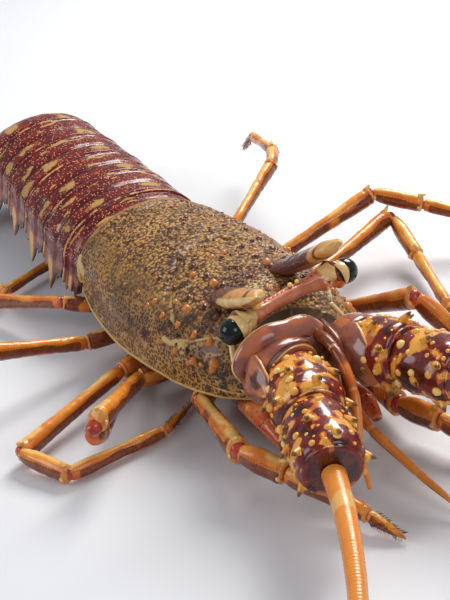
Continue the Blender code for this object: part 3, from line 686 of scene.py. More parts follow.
@dataclass
class Scatter:
    """Many small pieces on a surface, made by Geometry Nodes."""

    form: ScatterForm
    places: list = field(default_factory=list)
    aims: list = field(default_factory=list)
    widths: list = field(default_factory=list)
    lengths: list = field(default_factory=list)
    tones: list = field(default_factory=list)

    def add(self, place: Array, aim: Array, width: float, length: float, tone: float = 0.0) -> None:
        """Put one piece at a place.

        Args:
            place: its root in millimetres.
            aim: which way it points.
            width: its width in millimetres.
            length: its height in millimetres.
            tone: from 0 for the finish's warm colour to 1 for its pale one.
        """
        self.places.append(place)
        self.aims.append(aim)
        self.widths.append(width)
        self.lengths.append(length)
        self.tones.append(tone)

    def shape(self, tree: bpy.types.NodeTree, corners: Socket) -> Socket:
        """Nodes of one piece, 1 unit wide and high, with its tip towards +Z.

        Args:
            tree: where the nodes go.
            corners: how many sides the piece has.

        Returns:
            The piece's mesh.
        """
        if self.form is ScatterForm.BEAD:
            sockets = {"Rings": 5, "Radius": 0.5, "Segments": corners}
            return add_node(tree, "GeometryNodeMeshUVSphere", sockets).outputs["Mesh"]
        cone = add_node(tree, "GeometryNodeMeshCone", {
            "Vertices": corners, "Side Segments": 3 if self.form is ScatterForm.SPINE else 1,
            "Radius Bottom": 0.5, "Radius Top": 0.06, "Depth": 1.0}).outputs["Mesh"]
        return cone if self.form is ScatterForm.BRISTLE else self.belly_out(tree, cone)

    @staticmethod
    def belly_out(tree: bpy.types.NodeTree, mesh: Socket) -> Socket:
        """Round a cone's flank outwards so that it reads as grown shell.

        Args:
            tree: where the nodes go.
            mesh: the cone.

        Returns:
            The rounded mesh.
        """
        split = Scatter.position(tree)
        swell = add_node(tree, "ShaderNodeMapRange", {
            "Value": split.outputs["Z"], "From Min": 0.0, "From Max": 0.7, "To Min": 1.0, "To Max": 1.45},
            interpolation_type="SMOOTHERSTEP").outputs["Result"]
        wide = {key: add_node(tree, "ShaderNodeMath", {0: split.outputs[key], 1: swell},
                              operation="MULTIPLY").outputs[0] for key in "XY"}
        join = add_node(tree, "ShaderNodeCombineXYZ", {**wide, "Z": split.outputs["Z"]})
        sockets = {"Geometry": mesh, "Position": join.outputs[0]}
        return add_node(tree, "GeometryNodeSetPosition", sockets).outputs[0]

    @staticmethod
    def position(tree: bpy.types.NodeTree) -> bpy.types.Node:
        """A node whose outputs are each point's X, Y and Z."""
        place = add_node(tree, "GeometryNodeInputPosition").outputs["Position"]
        return add_node(tree, "ShaderNodeSeparateXYZ", {"Vector": place})

    def tree(self, name: str, finish: ShellFinish) -> bpy.types.NodeTree:
        """The Geometry Nodes tree that puts a shape on every point.

        Args:
            name: the piece's name.
            finish: the coating of the shapes.

        Returns:
            The tree, with an input named Corners.
        """
        tree = bpy.data.node_groups.new(name + "_tree", "GeometryNodeTree")
        tree.interface.new_socket("Points", in_out="INPUT", socket_type="NodeSocketGeometry")
        corners = tree.interface.new_socket("Corners", in_out="INPUT", socket_type="NodeSocketInt")
        corners.default_value = 8
        tree.interface.new_socket("Pieces", in_out="OUTPUT", socket_type="NodeSocketGeometry")
        given = add_node(tree, "NodeGroupInput")
        tipped = add_node(tree, "GeometryNodeStoreNamedAttribute", {
            "Name": "tip", "Geometry": self.shape(tree, given.outputs["Corners"]),
            "Value": self.position(tree).outputs["Z"]}, data_type="FLOAT")
        aim = self.read(tree, "aim")
        turn = add_node(tree, "FunctionNodeAlignRotationToVector", {"Vector": aim}, axis="Z")
        placed = add_node(tree, "GeometryNodeInstanceOnPoints", {
            "Points": given.outputs["Points"], "Instance": tipped.outputs[0], "Rotation": turn.outputs[0],
            "Scale": self.read(tree, "size")})
        real = add_node(tree, "GeometryNodeRealizeInstances", {0: placed.outputs[0]})
        coated = add_node(tree, "GeometryNodeSetMaterial", {
            "Geometry": real.outputs[0], "Material": MATERIALS[finish.name]})
        add_node(tree, "NodeGroupOutput", {0: coated.outputs[0]})
        return tree

    @staticmethod
    def read(tree: bpy.types.NodeTree, name: str) -> Socket:
        """A named direction or size of each point."""
        return add_node(tree, "GeometryNodeInputNamedAttribute", {"Name": name},
                        data_type="FLOAT_VECTOR").outputs["Attribute"]

    def build(self, name: str, finish: ShellFinish, corners: int = 8) -> bpy.types.Object | None:
        """Turn the places into one plain mesh.

        Args:
            name: the piece's name.
            finish: its coating.
            corners: how many sides each small shape has.

        Returns:
            The dressed piece, or None where nothing was added.
        """
        if not self.places:
            return None
        points = new_mesh(name + "_points", np.array(self.places), [], {})
        sizes = np.stack([self.widths, self.widths, self.lengths], 1) * MM
        for key, values in (("aim", np.array(self.aims)), ("size", sizes), ("tone", self.tones)):
            store(points.data, key, values)
        modifier = points.modifiers.new("scatter", "NODES")
        modifier.node_group = self.tree(name, finish)
        socket = next(item for item in modifier.node_group.interface.items_tree if item.name == "Corners")
        modifier[socket.identifier] = corners
        evaluated = points.evaluated_get(bpy.context.evaluated_depsgraph_get())
        mesh = bpy.data.meshes.new_from_object(evaluated)
        bpy.data.objects.remove(points, do_unlink=True)
        self.shade(mesh)
        return dress(add_object(name, mesh), finish)

    def shade(self, mesh: bpy.types.Mesh) -> None:
        """Turn each point's tone and height into the finish's masks: beads get a painted highlight on top and
        painted shade below.

        Args:
            mesh: the scattered pieces.
        """
        tips, tones = (np.zeros(len(mesh.vertices), np.float32) for _ in range(2))
        mesh.attributes["tip"].data.foreach_get("value", tips)
        mesh.attributes["tone"].data.foreach_get("value", tones)
        if self.form is ScatterForm.SPINE:
            masks = {"warm": ease(0.2, 0.5, tones), "dark": ease(0.55, 0.85, tips) * (tones < 0.9),
                     "pale": ease(0.8, 0.95, tones)}
        elif self.form is ScatterForm.BEAD:
            # Beads: a painted highlight over the top and painted shade over the lower half; low tones give
            # wholly dark beads.
            masks = {"warm": 1.0 * (tones > 0.2), "pale": ease(0.6, 1.0, tones) * ease(-0.1, 0.4, tips),
                     "dark": np.maximum(1.0 * (tones <= 0.1), 0.8 * ease(-0.1, -0.5, tips))}
        else:
            masks = {"dark": np.ones_like(tips) * (tones < 0.5), "warm": np.ones_like(tips)}
        for key, values in masks.items():
            store(mesh, key, values)
        mesh.shade_smooth()


@dataclass
class Carapace:
    """The shell over the head and chest, with its grooves, grains and spines."""

    stations: tuple = (
        (-76.0, 25.0, 44.0, 25.0, 23.0), (-66.0, 31.0, 49.5, 31.0, 21.5), (-48.0, 36.5, 52.5, 37.5, 20.0),
        (-20.0, 40.0, 53.0, 42.0, 19.0), (5.0, 41.5, 53.5, 44.0, 19.0), (35.0, 39.5, 54.0, 42.5, 21.5),
        (56.0, 36.5, 52.5, 38.5, 25.5), (68.0, 35.0, 51.0, 35.5, 28.0))
    shoulder_turn: float = 90.0
    margin_turn: float = 110.0
    shoulder_height: float = 27.0
    inside: tuple = (0.0, 0.0, 30.0)
    rake: float = 17.0
    rake_length: float = 34.0
    cervical: tuple = (6.0, 89.0, 1.63, 1.5, 2.6)
    rear_groove: tuple = (60.0, 1.4, 1.8)
    belly: tuple = (2.0, 6.0)
    rows: int = 250
    columns: int = 190
    spine_rows: tuple = ((0.0, -38.0, -10.0, 12.0, 3.0, 2.2), (17.0, -34.0, 4.0, 12.0, 5.0, 2.6),
                         (36.0, -50.0, 10.0, 12.0, 5.2, 2.8), (56.0, -56.0, -8.0, 12.0, 5.0, 3.0),
                         (76.0, -60.0, -24.0, 12.0, 5.6, 3.6))
    degree: float = 0.68
    lines: dict = field(default_factory=lambda: {
        "seam": ((-6.8, 29.0), (-12.0, 36.5), (-17.5, 44.0), (-26.0, 55.0), (-36.0, 61.0), (-40.0, 67.0),
                 (-42.0, 74.0)),
        "fork": ((-27.0, 71.5), (-32.0, 72.0), (-37.5, 67.0), (-41.0, 73.0)),
        "upper": ((-17.0, 43.0), (-18.5, 36.0), (-21.0, 29.0)),
        "ridge": ((-40.0, 63.8), (-45.5, 62.0), (-53.0, 55.5), (-60.0, 51.5), (-68.0, 52.0)),
        "cheek": ((-42.0, 74.0), (-46.0, 83.0), (-52.0, 92.0), (-60.0, 96.0), (-71.0, 99.0))})
    hook: tuple = ((59.0, 85.0), (62.5, 75.0), (66.3, 67.0), (66.6, 76.0), (64.5, 84.0))
    bare_patch: tuple = (-57.0, 60.5)
    crown: tuple = (-52.0, 5.0)
    shadows: tuple = ((-29.0, 56.5, 3.4), (-35.0, 57.0, 3.0), (-26.0, 65.5, 2.4), (-42.0, 70.5, 2.6),
                      (-13.5, 79.0, 3.0), (-18.0, 78.0, 2.6), (-46.0, 50.0, 5.0), (-38.0, 49.0, 4.0),
                      (-54.0, 43.0, 4.5), (-47.0, 38.0, 4.0), (-18.5, 31.0, 3.0), (-48.0, 86.0, 3.0),
                      (-56.0, 78.0, 4.5), (-66.0, 74.0, 4.0), (-44.0, 22.0, 4.5), (-58.0, 26.0, 5.0))
    tubercles: tuple = ((-30.2, 18.5, 5.0), (-15.8, 21.2, 3.2), (-1.5, 37.2, 2.6), (-11.2, 4.0, 3.4),
                        (2.2, 51.8, 2.2), (14.5, 54.0, 1.8), (-10.8, 50.2, 2.8), (-31.2, 42.8, 4.6),
                        (-22.2, 42.8, 3.0), (-36.5, 34.0, 3.0), (-46.5, 80.0, 3.2), (-53.0, 77.8, 3.8),
                        (-62.2, 71.0, 5.6))
    lobes: tuple = ((-52.0, 6.0, 4.0), (-56.0, 2.0, 3.6), (-57.0, 9.0, 3.6), (-60.5, 8.0, 3.2))
    small_spines: int = 760
    small_beads: int = 260
    growth_seed: int = 7

    def points(self, y: Array, angle: Array) -> Array:
        """Places on the shell.

        Args:
            y: distance along the animal.
            angle: 0 at the crest, 90 at the left shoulder, 110 at the left margin.

        Returns:
            One point for each pair.
        """
        y, angle = np.broadcast_arrays(np.asarray(y, float), np.asarray(angle, float))
        values = curve_through(self.stations, y.reshape(-1)).reshape(*y.shape, 4)
        half_width, crest, margin_width, margin_height = np.moveaxis(values, -1, 0)
        size, side = np.abs(angle), np.where(angle < 0, -1.0, 1.0)
        bend = np.radians(np.minimum(size, self.shoulder_turn))
        reach, rise = np.sin(bend), np.where(size < self.shoulder_turn, np.cos(bend), 0.0)
        share = np.clip((size - self.shoulder_turn) / (self.margin_turn - self.shoulder_turn), 0.0, 1.0)
        x = mix(half_width * reach, margin_width, share)
        z = mix(self.shoulder_height + (crest - self.shoulder_height) * rise, margin_height, share)
        dip = self.cervical[3] * hump(self.groove_offset(y, size), 0.0, self.cervical[4])
        dip = dip + self.rear_groove[1] * hump(y, self.rear_groove[0], self.rear_groove[2])
        x, z = x - dip * reach, z - dip * rise
        rake = np.maximum(0.0, 1.0 - (y - self.stations[0][0]) / self.rake_length)
        lift = np.maximum(0.0, (z - self.shoulder_height) / (crest - self.shoulder_height))
        return np.stack([side * x, y + self.rake * rake * lift, z], -1)

    def groove_offset(self, y: Array, size: Array) -> Array:
        """Distance along the animal from the cervical groove."""
        start, sweep_back, power = self.cervical[:3]
        return y - (start - sweep_back * (size / 100.0) ** power)

    def normals(self, y: Array, angle: Array) -> Array:
        """Outward directions of the shell."""
        along = self.points(np.asarray(y) + 0.5, angle) - self.points(np.asarray(y) - 0.5, angle)
        across = self.points(y, np.asarray(angle) + 1.0) - self.points(y, np.asarray(angle) - 1.0)
        return unit(np.cross(along, across))

    def spot(self, y: float, angle: float) -> tuple[Array, Array]:
        """A place on the shell and its outward direction."""
        return self.points(y, angle), self.normals(y, angle)

    def build(self) -> None:
        """Make the shell, its spines and its grains."""
        first, last = self.stations[0][0], self.stations[-1][0]
        y = np.linspace(first, last, self.rows)[:, None]
        angle = np.linspace(-self.margin_turn, self.margin_turn, self.columns)[None, :]
        outer = self.points(y, angle)
        normal = surface_normals(outer)
        normal *= np.sign(np.sum(normal * (outer - self.inside), -1, keepdims=True).mean())
        masks, height = self.relief(outer, y + 0 * angle, angle + 0 * y)
        outer = outer + normal * height[..., None]
        values = curve_through(self.stations, y[:, 0])
        margin, low = values[:, 2], values[:, 3] + self.belly[0]
        inner = [np.stack([s * (margin - self.belly[1]), y[:, 0], low], -1) for s in (1.0, 0.0, -1.0)]
        grid = np.concatenate([outer] + [part[:, None, :] for part in inner], 1)
        masks = {key: np.concatenate([value, np.repeat(value[:, -1:], len(inner), 1)], 1)
                 for key, value in masks.items()}
        dress(tube_object("carapace_shell", [(grid, masks)]), CARAPACE_FINISH, "carapace")
        self.scatter()

    def relief(self, outer: Array, y: Array, angle: Array) -> tuple[dict[str, Array], Array]:
        """Heights and coloured areas of the shell.

        Args:
            outer: its points.
            y: distance along the animal for each point.
            angle: angle from the crest for each point.

        Returns:
            The masks, and how far each point stands out in millimetres.
        """
        size = np.abs(angle)
        ragged = 0.5 * noise(outer, 4.0, 53)
        marks = {name: chart_distance(y, size, line, self.degree) + ragged
                 for name, line in self.lines.items()}
        rim = ease(2.4, 1.2, self.stations[-1][0] - y)
        margin = ease(105.5, 108.0, size)
        seam = np.maximum.reduce([
            0.75 * ease(1.5, 0.4, marks["seam"]), ease(2.3, 0.9, marks["fork"]),
            0.7 * ease(1.1, 0.3, marks["upper"]), 0.85 * ease(1.1, 0.3, marks["ridge"]),
            0.8 * ease(1.0, 0.3, marks["cheek"])])
        hook = ease(2.4, 1.2, chart_distance(y, size, self.hook, self.degree))
        bare_y, bare_turn = self.bare_patch
        bare = ease(1.15, 0.8, np.hypot((y - bare_y) / 7.5, (size - bare_turn) * self.degree / 2.6))
        smooth = np.clip(np.maximum.reduce([rim, margin, seam, hook, bare]), 0.0, 1.0)
        crust = ease(62.0, 34.0, size + 7.0 * noise(outer, 14.0, 51)) * ease(67.0, 63.0, y)
        fine, own = grains(outer, 1.7, 3)
        coarse, coarse_own = grains(outer, 3.1, 5)
        bead = ease(0.62, 0.1, fine) * (0.3 + 0.5 * own)
        lump = ease(0.6, 0.1, coarse) * coarse_own
        height = (bead * mix(0.35, 0.9, crust) + lump * mix(0.0, 0.8, crust)) * (1 - smooth)
        height = height + 0.3 * noise(outer, 7.0, 2)
        height = height + 0.7 * ease(1.6, 0.3, marks["ridge"]) - 0.5 * ease(1.4, 0.4, marks["cheek"])
        height = height - 0.5 * hump(marks["seam"], 2.2, 0.9) + 0.9 * hook
        crown_y, crown_turn = self.crown
        crown = ease(1.2, 0.7, np.hypot((y - crown_y) / 8.0, (size - crown_turn) * self.degree / 4.5))
        height = height + 1.2 * crown * (0.5 + 0.5 * noise(outer, 2.2, 8))
        shade = np.zeros_like(y)
        for place_y, place_turn, reach in self.shadows:
            away = np.hypot(y - place_y, (size - place_turn) * self.degree) / reach
            shade = np.maximum(shade, ease(1.6, 0.6, away))
        shade = np.clip(shade * (0.8 + 0.8 * noise(outer, 3.0, 23)), 0.0, 1.0)
        crust = crust * (1 - 0.75 * shade)
        patch = noise(outer, 12.0, 21) * 0.6 + noise(outer, 4.0, 22) * 0.5
        front = ease(-73.5, -75.5, y)
        smooth = np.maximum(smooth, front)
        masks = {
            "crust": crust * (1 - smooth),
            "smooth": smooth,
            "olive": np.maximum(bare, 0.8 * hump(size, 18.0, 30.0) * hump(y, -36.0, 10.0)) + 0.4 * rim,
            "warm": np.maximum(0.75 * ease(0.1, 0.6, patch),
                               0.8 * ease(70.0, 95.0, size) * ease(20.0, -20.0, y)),
            "dark": np.maximum(np.maximum(0.95 * shade, 0.7 * ease(0.35, 0.7, -patch)) * (1 - smooth),
                               front),
            "pale": np.maximum.reduce([seam, hook * 1.1, 0.75 * margin, 0.3 * rim, 0.75 * crown]),
        }
        return masks, height * 0.8

    def scatter(self) -> None:
        """The named spines in rows, the large side tubercles, and many small seeded ones."""
        spines = Scatter(ScatterForm.SPINE)
        beads = Scatter(ScatterForm.BEAD)
        forward = np.array((0.0, -1.0, 0.0))
        for angle, first, last, pitch, high, low in self.spine_rows:
            count = int((last - first) / pitch) + 1
            for step in range(count):
                length = mix(high, low, step / max(count - 1, 1))
                for side in ((1,) if angle == 0.0 else (-1, 1)):
                    y, turn = first + pitch * step, side * angle
                    place, normal = self.spot(y, turn)
                    spines.add(place - normal * 0.8, unit(normal + forward * 0.6), length * 0.85,
                               length * 1.2, 0.2 if angle < 50.0 else 0.45)
        for y, angle, length in self.tubercles:
            for side in (-1, 1):
                place, normal = self.spot(y, side * angle)
                beads.add(place, unit(normal * 0.8 + forward), length * 0.8, length * 1.05, 0.7)
        for y, angle, length in self.lobes:
            for side in (-1, 1):
                place, normal = self.spot(y, side * angle)
                beads.add(place + normal * 0.3, unit(normal + forward * 0.4), length, length * 0.8, 0.75)
        self.small_growth(spines, beads, forward)
        spines.build("carapace_spines", SPINE_FINISH, 12)
        beads.build("carapace_grains", SPINE_FINISH, 10)

    def small_growth(self, spines: Scatter, beads: Scatter, forward: Array) -> None:
        """Seeded small spines over the back and glossy grains in the dark hollows.

        Args:
            spines: collects the spines.
            beads: collects the grains.
            forward: the way that the spines lean.
        """
        draw = np.random.default_rng(self.growth_seed)
        for _ in range(self.small_spines):
            angle, y = draw.uniform(-80.0, 80.0), draw.uniform(-58.0, 64.0)
            crown = float(ease(66.0, 22.0, abs(angle)))
            if draw.random() > 0.08 + 0.92 * crown:
                continue
            length = draw.uniform(1.0, 2.4) * mix(0.7, 1.0, crown)
            place, normal = self.spot(y, angle)
            spines.add(place - normal * 0.2, unit(normal + forward * 0.8), length * 0.95, length * 1.2,
                       draw.choice((0.1, 0.1, 0.2, 0.35)))
        for place_y, place_turn, reach in self.shadows:
            for _ in range(int(5 * reach)):
                angle = place_turn + draw.normal(0.0, reach * 0.7) / self.degree
                y = place_y + draw.normal(0.0, reach * 0.7)
                width = draw.uniform(1.0, 1.9)
                for side in (-1, 1):
                    place, normal = self.spot(y, side * angle)
                    beads.add(place + normal * 0.35, normal, width, width, draw.choice((0.15, 0.2, 0.7)))
        for _ in range(self.small_beads):
            angle, y = draw.uniform(-60.0, 60.0), draw.uniform(-62.0, 58.0)
            width = draw.uniform(0.9, 1.7)
            place, normal = self.spot(y, angle)
            beads.add(place + normal * 0.3, normal, width, width, draw.choice((0.15, 0.7)))


@dataclass
class Horns:
    """The two broad horns over the eyes."""

    bases: dict = field(default_factory=lambda: {"R": (-14.0, -42.0, 51.5), "L": (14.5, -40.0, 52.5)})
    tips: dict = field(default_factory=lambda: {"R": (-18.5, -83.0, 69.0), "L": (21.0, -77.0, 74.5)})
    half_height: float = 3.9
    half_width: float = 7.0
    sag: float = 1.0
    slant: float = 3.2
    profile: tuple = ((0.0, 0.8), (0.3, 0.95), (0.6, 0.9), (0.85, 0.76), (1.0, 0.32))
    stripe: tuple = (0.84, 0.025)
    pale_edges: dict = field(default_factory=lambda: {"R": (1.0, 0.0), "L": (1.1, 0.15)})

    def build(self) -> None:
        """Make both horns."""
        for side, tip in self.tips.items():
            self.horn(side, np.array(self.bases[side]), np.array(tip), 1.0 if side == "L" else -1.0)

    def horn(self, side: str, base: Array, tip: Array, outer: float) -> None:
        """One horn: a flattened blade with a slanted tip.

        Args:
            side: "R" or "L".
            base: where it leaves the shell.
            tip: its far end.
            outer: the sign of x on its outer edge.
        """
        share = np.linspace(-0.05, 1.0, 90)
        path = base + (tip - base) * share[:, None]
        path[:, 2] -= self.sag * np.sin(math.pi * np.clip(share, 0, 1))
        scale = curve_through(self.profile, share)[:, 0] * np.sqrt(np.clip((1.004 - share) / 0.05, 0.0, 1.0))
        grid, angles = sweep(path, self.half_width * scale, self.half_height * scale, 56)
        edge = outer * np.sign((grid[5, 0] - path[5])[0]) * np.cos(angles)[None, :] + 0 * share[:, None]
        rise = np.sin(angles)[None, :] + 0 * share[:, None]
        along = share[:, None] + 0 * edge
        grid = grid + unit(tip - base) * (self.slant * (edge - 1.0) * 0.5 * ease(0.6, 1.0, along))[..., None]
        rough = 0.22 * noise(grid, 2.0, 4) + 0.3 * hump(edge, 1.0, 0.25)
        grid = raised(grid, path, rough)
        line = self.pale_edges[side][0] * edge + self.pale_edges[side][1] * rise
        slanted = along - 0.05 * edge
        swirl = ease(0.1, 0.5, noise(grid, 4.5, 14)) * (side == "R")
        place, width = self.stripe
        end = ease(place + 0.06, place + 0.12, slanted)
        masks = {
            "pale": np.maximum(0.95 * hump(line, 1.0, 0.14) * ease(0.1, 0.3, along), 0.5 * end),
            "dark": np.maximum.reduce([1.1 * hump(slanted, place, width), 0.5 * ease(0.12, 0.0, along),
                                       0.6 * swirl * ease(0.4, 0.6, along) * (1 - end)]),
            "warm": np.maximum(ease(0.58, 0.72, along) * 0.9, 0.7 * ease(0.25, 0.45, along) * (side == "R")),
            "olive": 0.75 * ease(-0.1, -0.6, rise) * ease(0.75, 0.6, along),
            "fleck": ease(0.75, 0.6, along),
        }
        dress(tube_object(f"horn_{side}", [(grid, masks)]), HORN_FINISH)


@dataclass
class Head:
    """Eyes, the bar that carries them, their cups, and the smooth plates in front of the mouth."""

    carapace: Carapace
    places: dict = field(default_factory=lambda: {"R": (-28.0, -74.0, 54.0), "L": (27.0, -68.0, 56.5)})
    radius: float = 5.2
    bar_middle: tuple = (0.0, -67.0, 55.0)
    bar_radii: tuple = ((0.0, 4.4), (0.09, 5.4), (0.18, 4.0), (0.3, 2.8), (0.5, 2.8), (0.7, 3.0),
                        (0.82, 4.4), (0.91, 5.4), (1.0, 4.4))
    bar_bow: float = 0.6
    knobs: tuple = (((-14.5, -70.5, 58.5), 4.6), ((3.0, -66.5, 59.0), 2.2), ((6.5, -66.0, 59.0), 2.0))
    dome_centre: tuple = (-3.0, -80.0, 42.0)
    dome_radii: tuple = (10.0, 9.0, 9.5)
    strut_line: tuple = ((-68.0, 50.0), (-71.8, 73.0), (-72.8, 98.0))
    strut_radii: tuple = (1.25, 0.8)
    lip_arc: tuple = (-35.0, 215.0)
    lip_inset: float = 2.8
    lip_radius: float = 4.9
    lip_section: tuple = (0.6, 2.0)

    def build(self) -> None:
        """Make the head's pieces."""
        self.eyes()
        self.bar()
        self.dome()
        self.strut(-1.0)
        self.strut(1.0)

    def bar(self) -> None:
        """The bar between the eyes with the cups at its ends."""
        right, left = (np.array(self.places[side]) for side in ("R", "L"))
        share = np.linspace(0.02, 0.98, 190)
        bow = np.sin(math.pi * share) ** self.bar_bow
        sag = (np.array(self.bar_middle) - (right + left) / 2) * bow[:, None]
        path = right + (left - right) * share[:, None] + sag
        radius = curve_through(self.bar_radii, share)[:, 0]
        grid, angles = sweep(path, radius, radius, 64)
        cup = np.maximum(ease(0.24, 0.17, share), ease(0.76, 0.83, share))[:, None] + 0 * angles[None, :]
        rise = np.sin(angles)[None, :] + 0 * share[:, None]
        fold = noise(grid, 3.4, 18)
        # crease: a sunken line between the cups' bulges, also painted dark as shade.
        crease = hump(fold, 0.0, 0.12 * fold.std() + 0.02) * cup
        lump = (noise(grid, 5.0, 8) + 0.9 * fold) * cup - 0.45 * crease
        lump = lump + 0.5 * hump(rise, 0.85, 0.2) * (1 - cup)
        mottle = noise(grid, 2.8, 10)
        blotch = ease(mottle.mean() + 0.35 * mottle.std(), mottle.mean() + 0.95 * mottle.std(), mottle)
        line = hump(angles, math.pi / 2, 0.22)[None, :] * (1 - cup)
        beads = 0.5 + 0.5 * np.sin(share * 2 * math.pi * 26.0)[:, None]
        under = ease(0.3, -0.35, rise) * cup * (share > 0.5)[:, None]
        grid = raised(grid, path, lump - 0.35 * line * beads)
        masks = {
            "pale": cup * 0.85 * (1 - blotch) * (1 - 0.9 * under),
            "olive": cup * ease(-0.2, 0.4, noise(grid, 6.0, 9)) * (share < 0.5)[:, None],
            "warm": np.maximum(under, 0.35 * ease(0.3, 0.8, noise(grid, 8.0, 12))),
            # The dark along the creases is painted shade; the mottles and the beaded line over the top are
            # the bar's own colour.
            "dark": np.maximum.reduce([blotch * cup * 0.8, 0.7 * crease, line * (0.3 + 0.5 * beads)]),
        }
        dress(tube_object("eye_bar_shell", [(grid, masks)]), BAR_FINISH, "eye_bar")
        knobs = Scatter(ScatterForm.BEAD)
        for place, width in self.knobs:
            knobs.add(np.array(place), np.array((0.0, -0.5, 0.85)), width, width, 1.0)
        knobs.build("head_knobs", TUBERCLE_FINISH, 16)

    def dome(self) -> None:
        """The smooth rounded plate between the antennae."""
        centre, radii = np.array(self.dome_centre), np.array(self.dome_radii)
        turn = np.linspace(0.03, math.pi - 0.03, 60)[:, None]
        around = np.linspace(0.0, 2 * math.pi, 72, endpoint=False)[None, :]
        shape = np.stack([np.sin(turn) * np.cos(around), np.cos(turn) + 0 * around,
                          np.sin(turn) * np.sin(around)], -1)
        grid = centre + shape * radii
        grid = grid + shape * (0.5 * noise(grid, 9.0, 31))[..., None]
        spot = ease(0.9, 0.3, np.linalg.norm(grid - (centre + radii * (-0.75, -0.5, 0.35)), axis=-1) / 7.0)
        masks = {
            "warm": 0.9 * spot,
            "pale": 0.9 * ease(-0.45, -0.7, shape[..., 2]),
            "olive": 0.7 * ease(0.2, 0.7, noise(grid, 7.0, 33)),
            "dark": 0.35 * ease(0.2, 0.7, noise(grid, 5.0, 34)),
        }
        dress(tube_object("head_dome", [(grid, masks)]), PLATE_FINISH)

    def strut(self, side: float) -> None:
        """The thin pale ridge that runs down behind an eye.

        Args:
            side: 1 for the left eye, -1 for the right one.
        """
        corners = [self.carapace.points(y, side * turn) + 0.4 * self.carapace.normals(y, side * turn)
                   for y, turn in self.strut_line]
        share = np.linspace(0.0, 1.0, 60)
        path = smooth_path(corners, len(share))
        ends = np.clip(share / 0.05, 0.03, 1.0) * np.clip((1 - share) / 0.05, 0.03, 1.0)
        radius = mix(*self.strut_radii, share) * np.sqrt(ends)
        grid, _ = sweep(path, radius, radius, 16)
        name = "eye_strut_" + ("L" if side > 0 else "R")
        dress(tube_object(name, [(grid, {"pale": 1.0})]), BAR_FINISH)

    def eyes(self) -> None:
        """Both eyeballs and the pale lips over them."""
        right, left = (np.array(self.places[side]) for side in ("R", "L"))
        for side, place, inward in (("R", right, left - right), ("L", left, right - left)):
            turn = np.linspace(0.0, math.pi, 40)
            path = place - unit(inward) * (np.cos(turn) * self.radius)[:, None]
            radius = np.sin(turn) * self.radius
            radius[0] = radius[-1] = 0.02
            grid, _ = sweep(path, radius, radius, 48)
            dress(tube_object(f"eye_ball_{side}", [(grid, {})]), EYE_FINISH, f"eye_{side}")
            self.lip(side, place, unit(inward))

    def lip(self, side: str, place: Array, inward: Array) -> None:
        """The rolled pale edge of the cup over the upper half of an eyeball.

        Args:
            side: "R" or "L".
            place: the eyeball's centre.
            inward: the way from it to the other eye.
        """
        first, last = (math.radians(v) for v in self.lip_arc)
        turn = np.linspace(first, last, 72)
        across = unit(np.cross(inward, UP))
        rise = np.cross(across, inward)
        radius = self.lip_radius * (1.0 + 0.04 * np.sin(3 * turn + 0.7))
        centre = place + inward * self.lip_inset
        ring = centre + across * (np.cos(turn) * radius)[:, None] + rise * (np.sin(turn) * radius)[:, None]
        outward = unit(ring - centre)
        angles = np.linspace(0.0, 2 * math.pi, 14, endpoint=False)
        taper = np.sqrt(np.sin(np.linspace(0.02, math.pi - 0.02, len(turn))))[:, None]
        thickness, half_width = self.lip_section
        grid = (ring[:, None, :] + outward[:, None, :] * (taper * np.cos(angles) * thickness)[..., None]
                + inward * (taper * np.sin(angles) * half_width)[..., None])
        dress(tube_object(f"eye_lip_{side}", [(grid, {"pale": 1.0})]), BAR_FINISH)


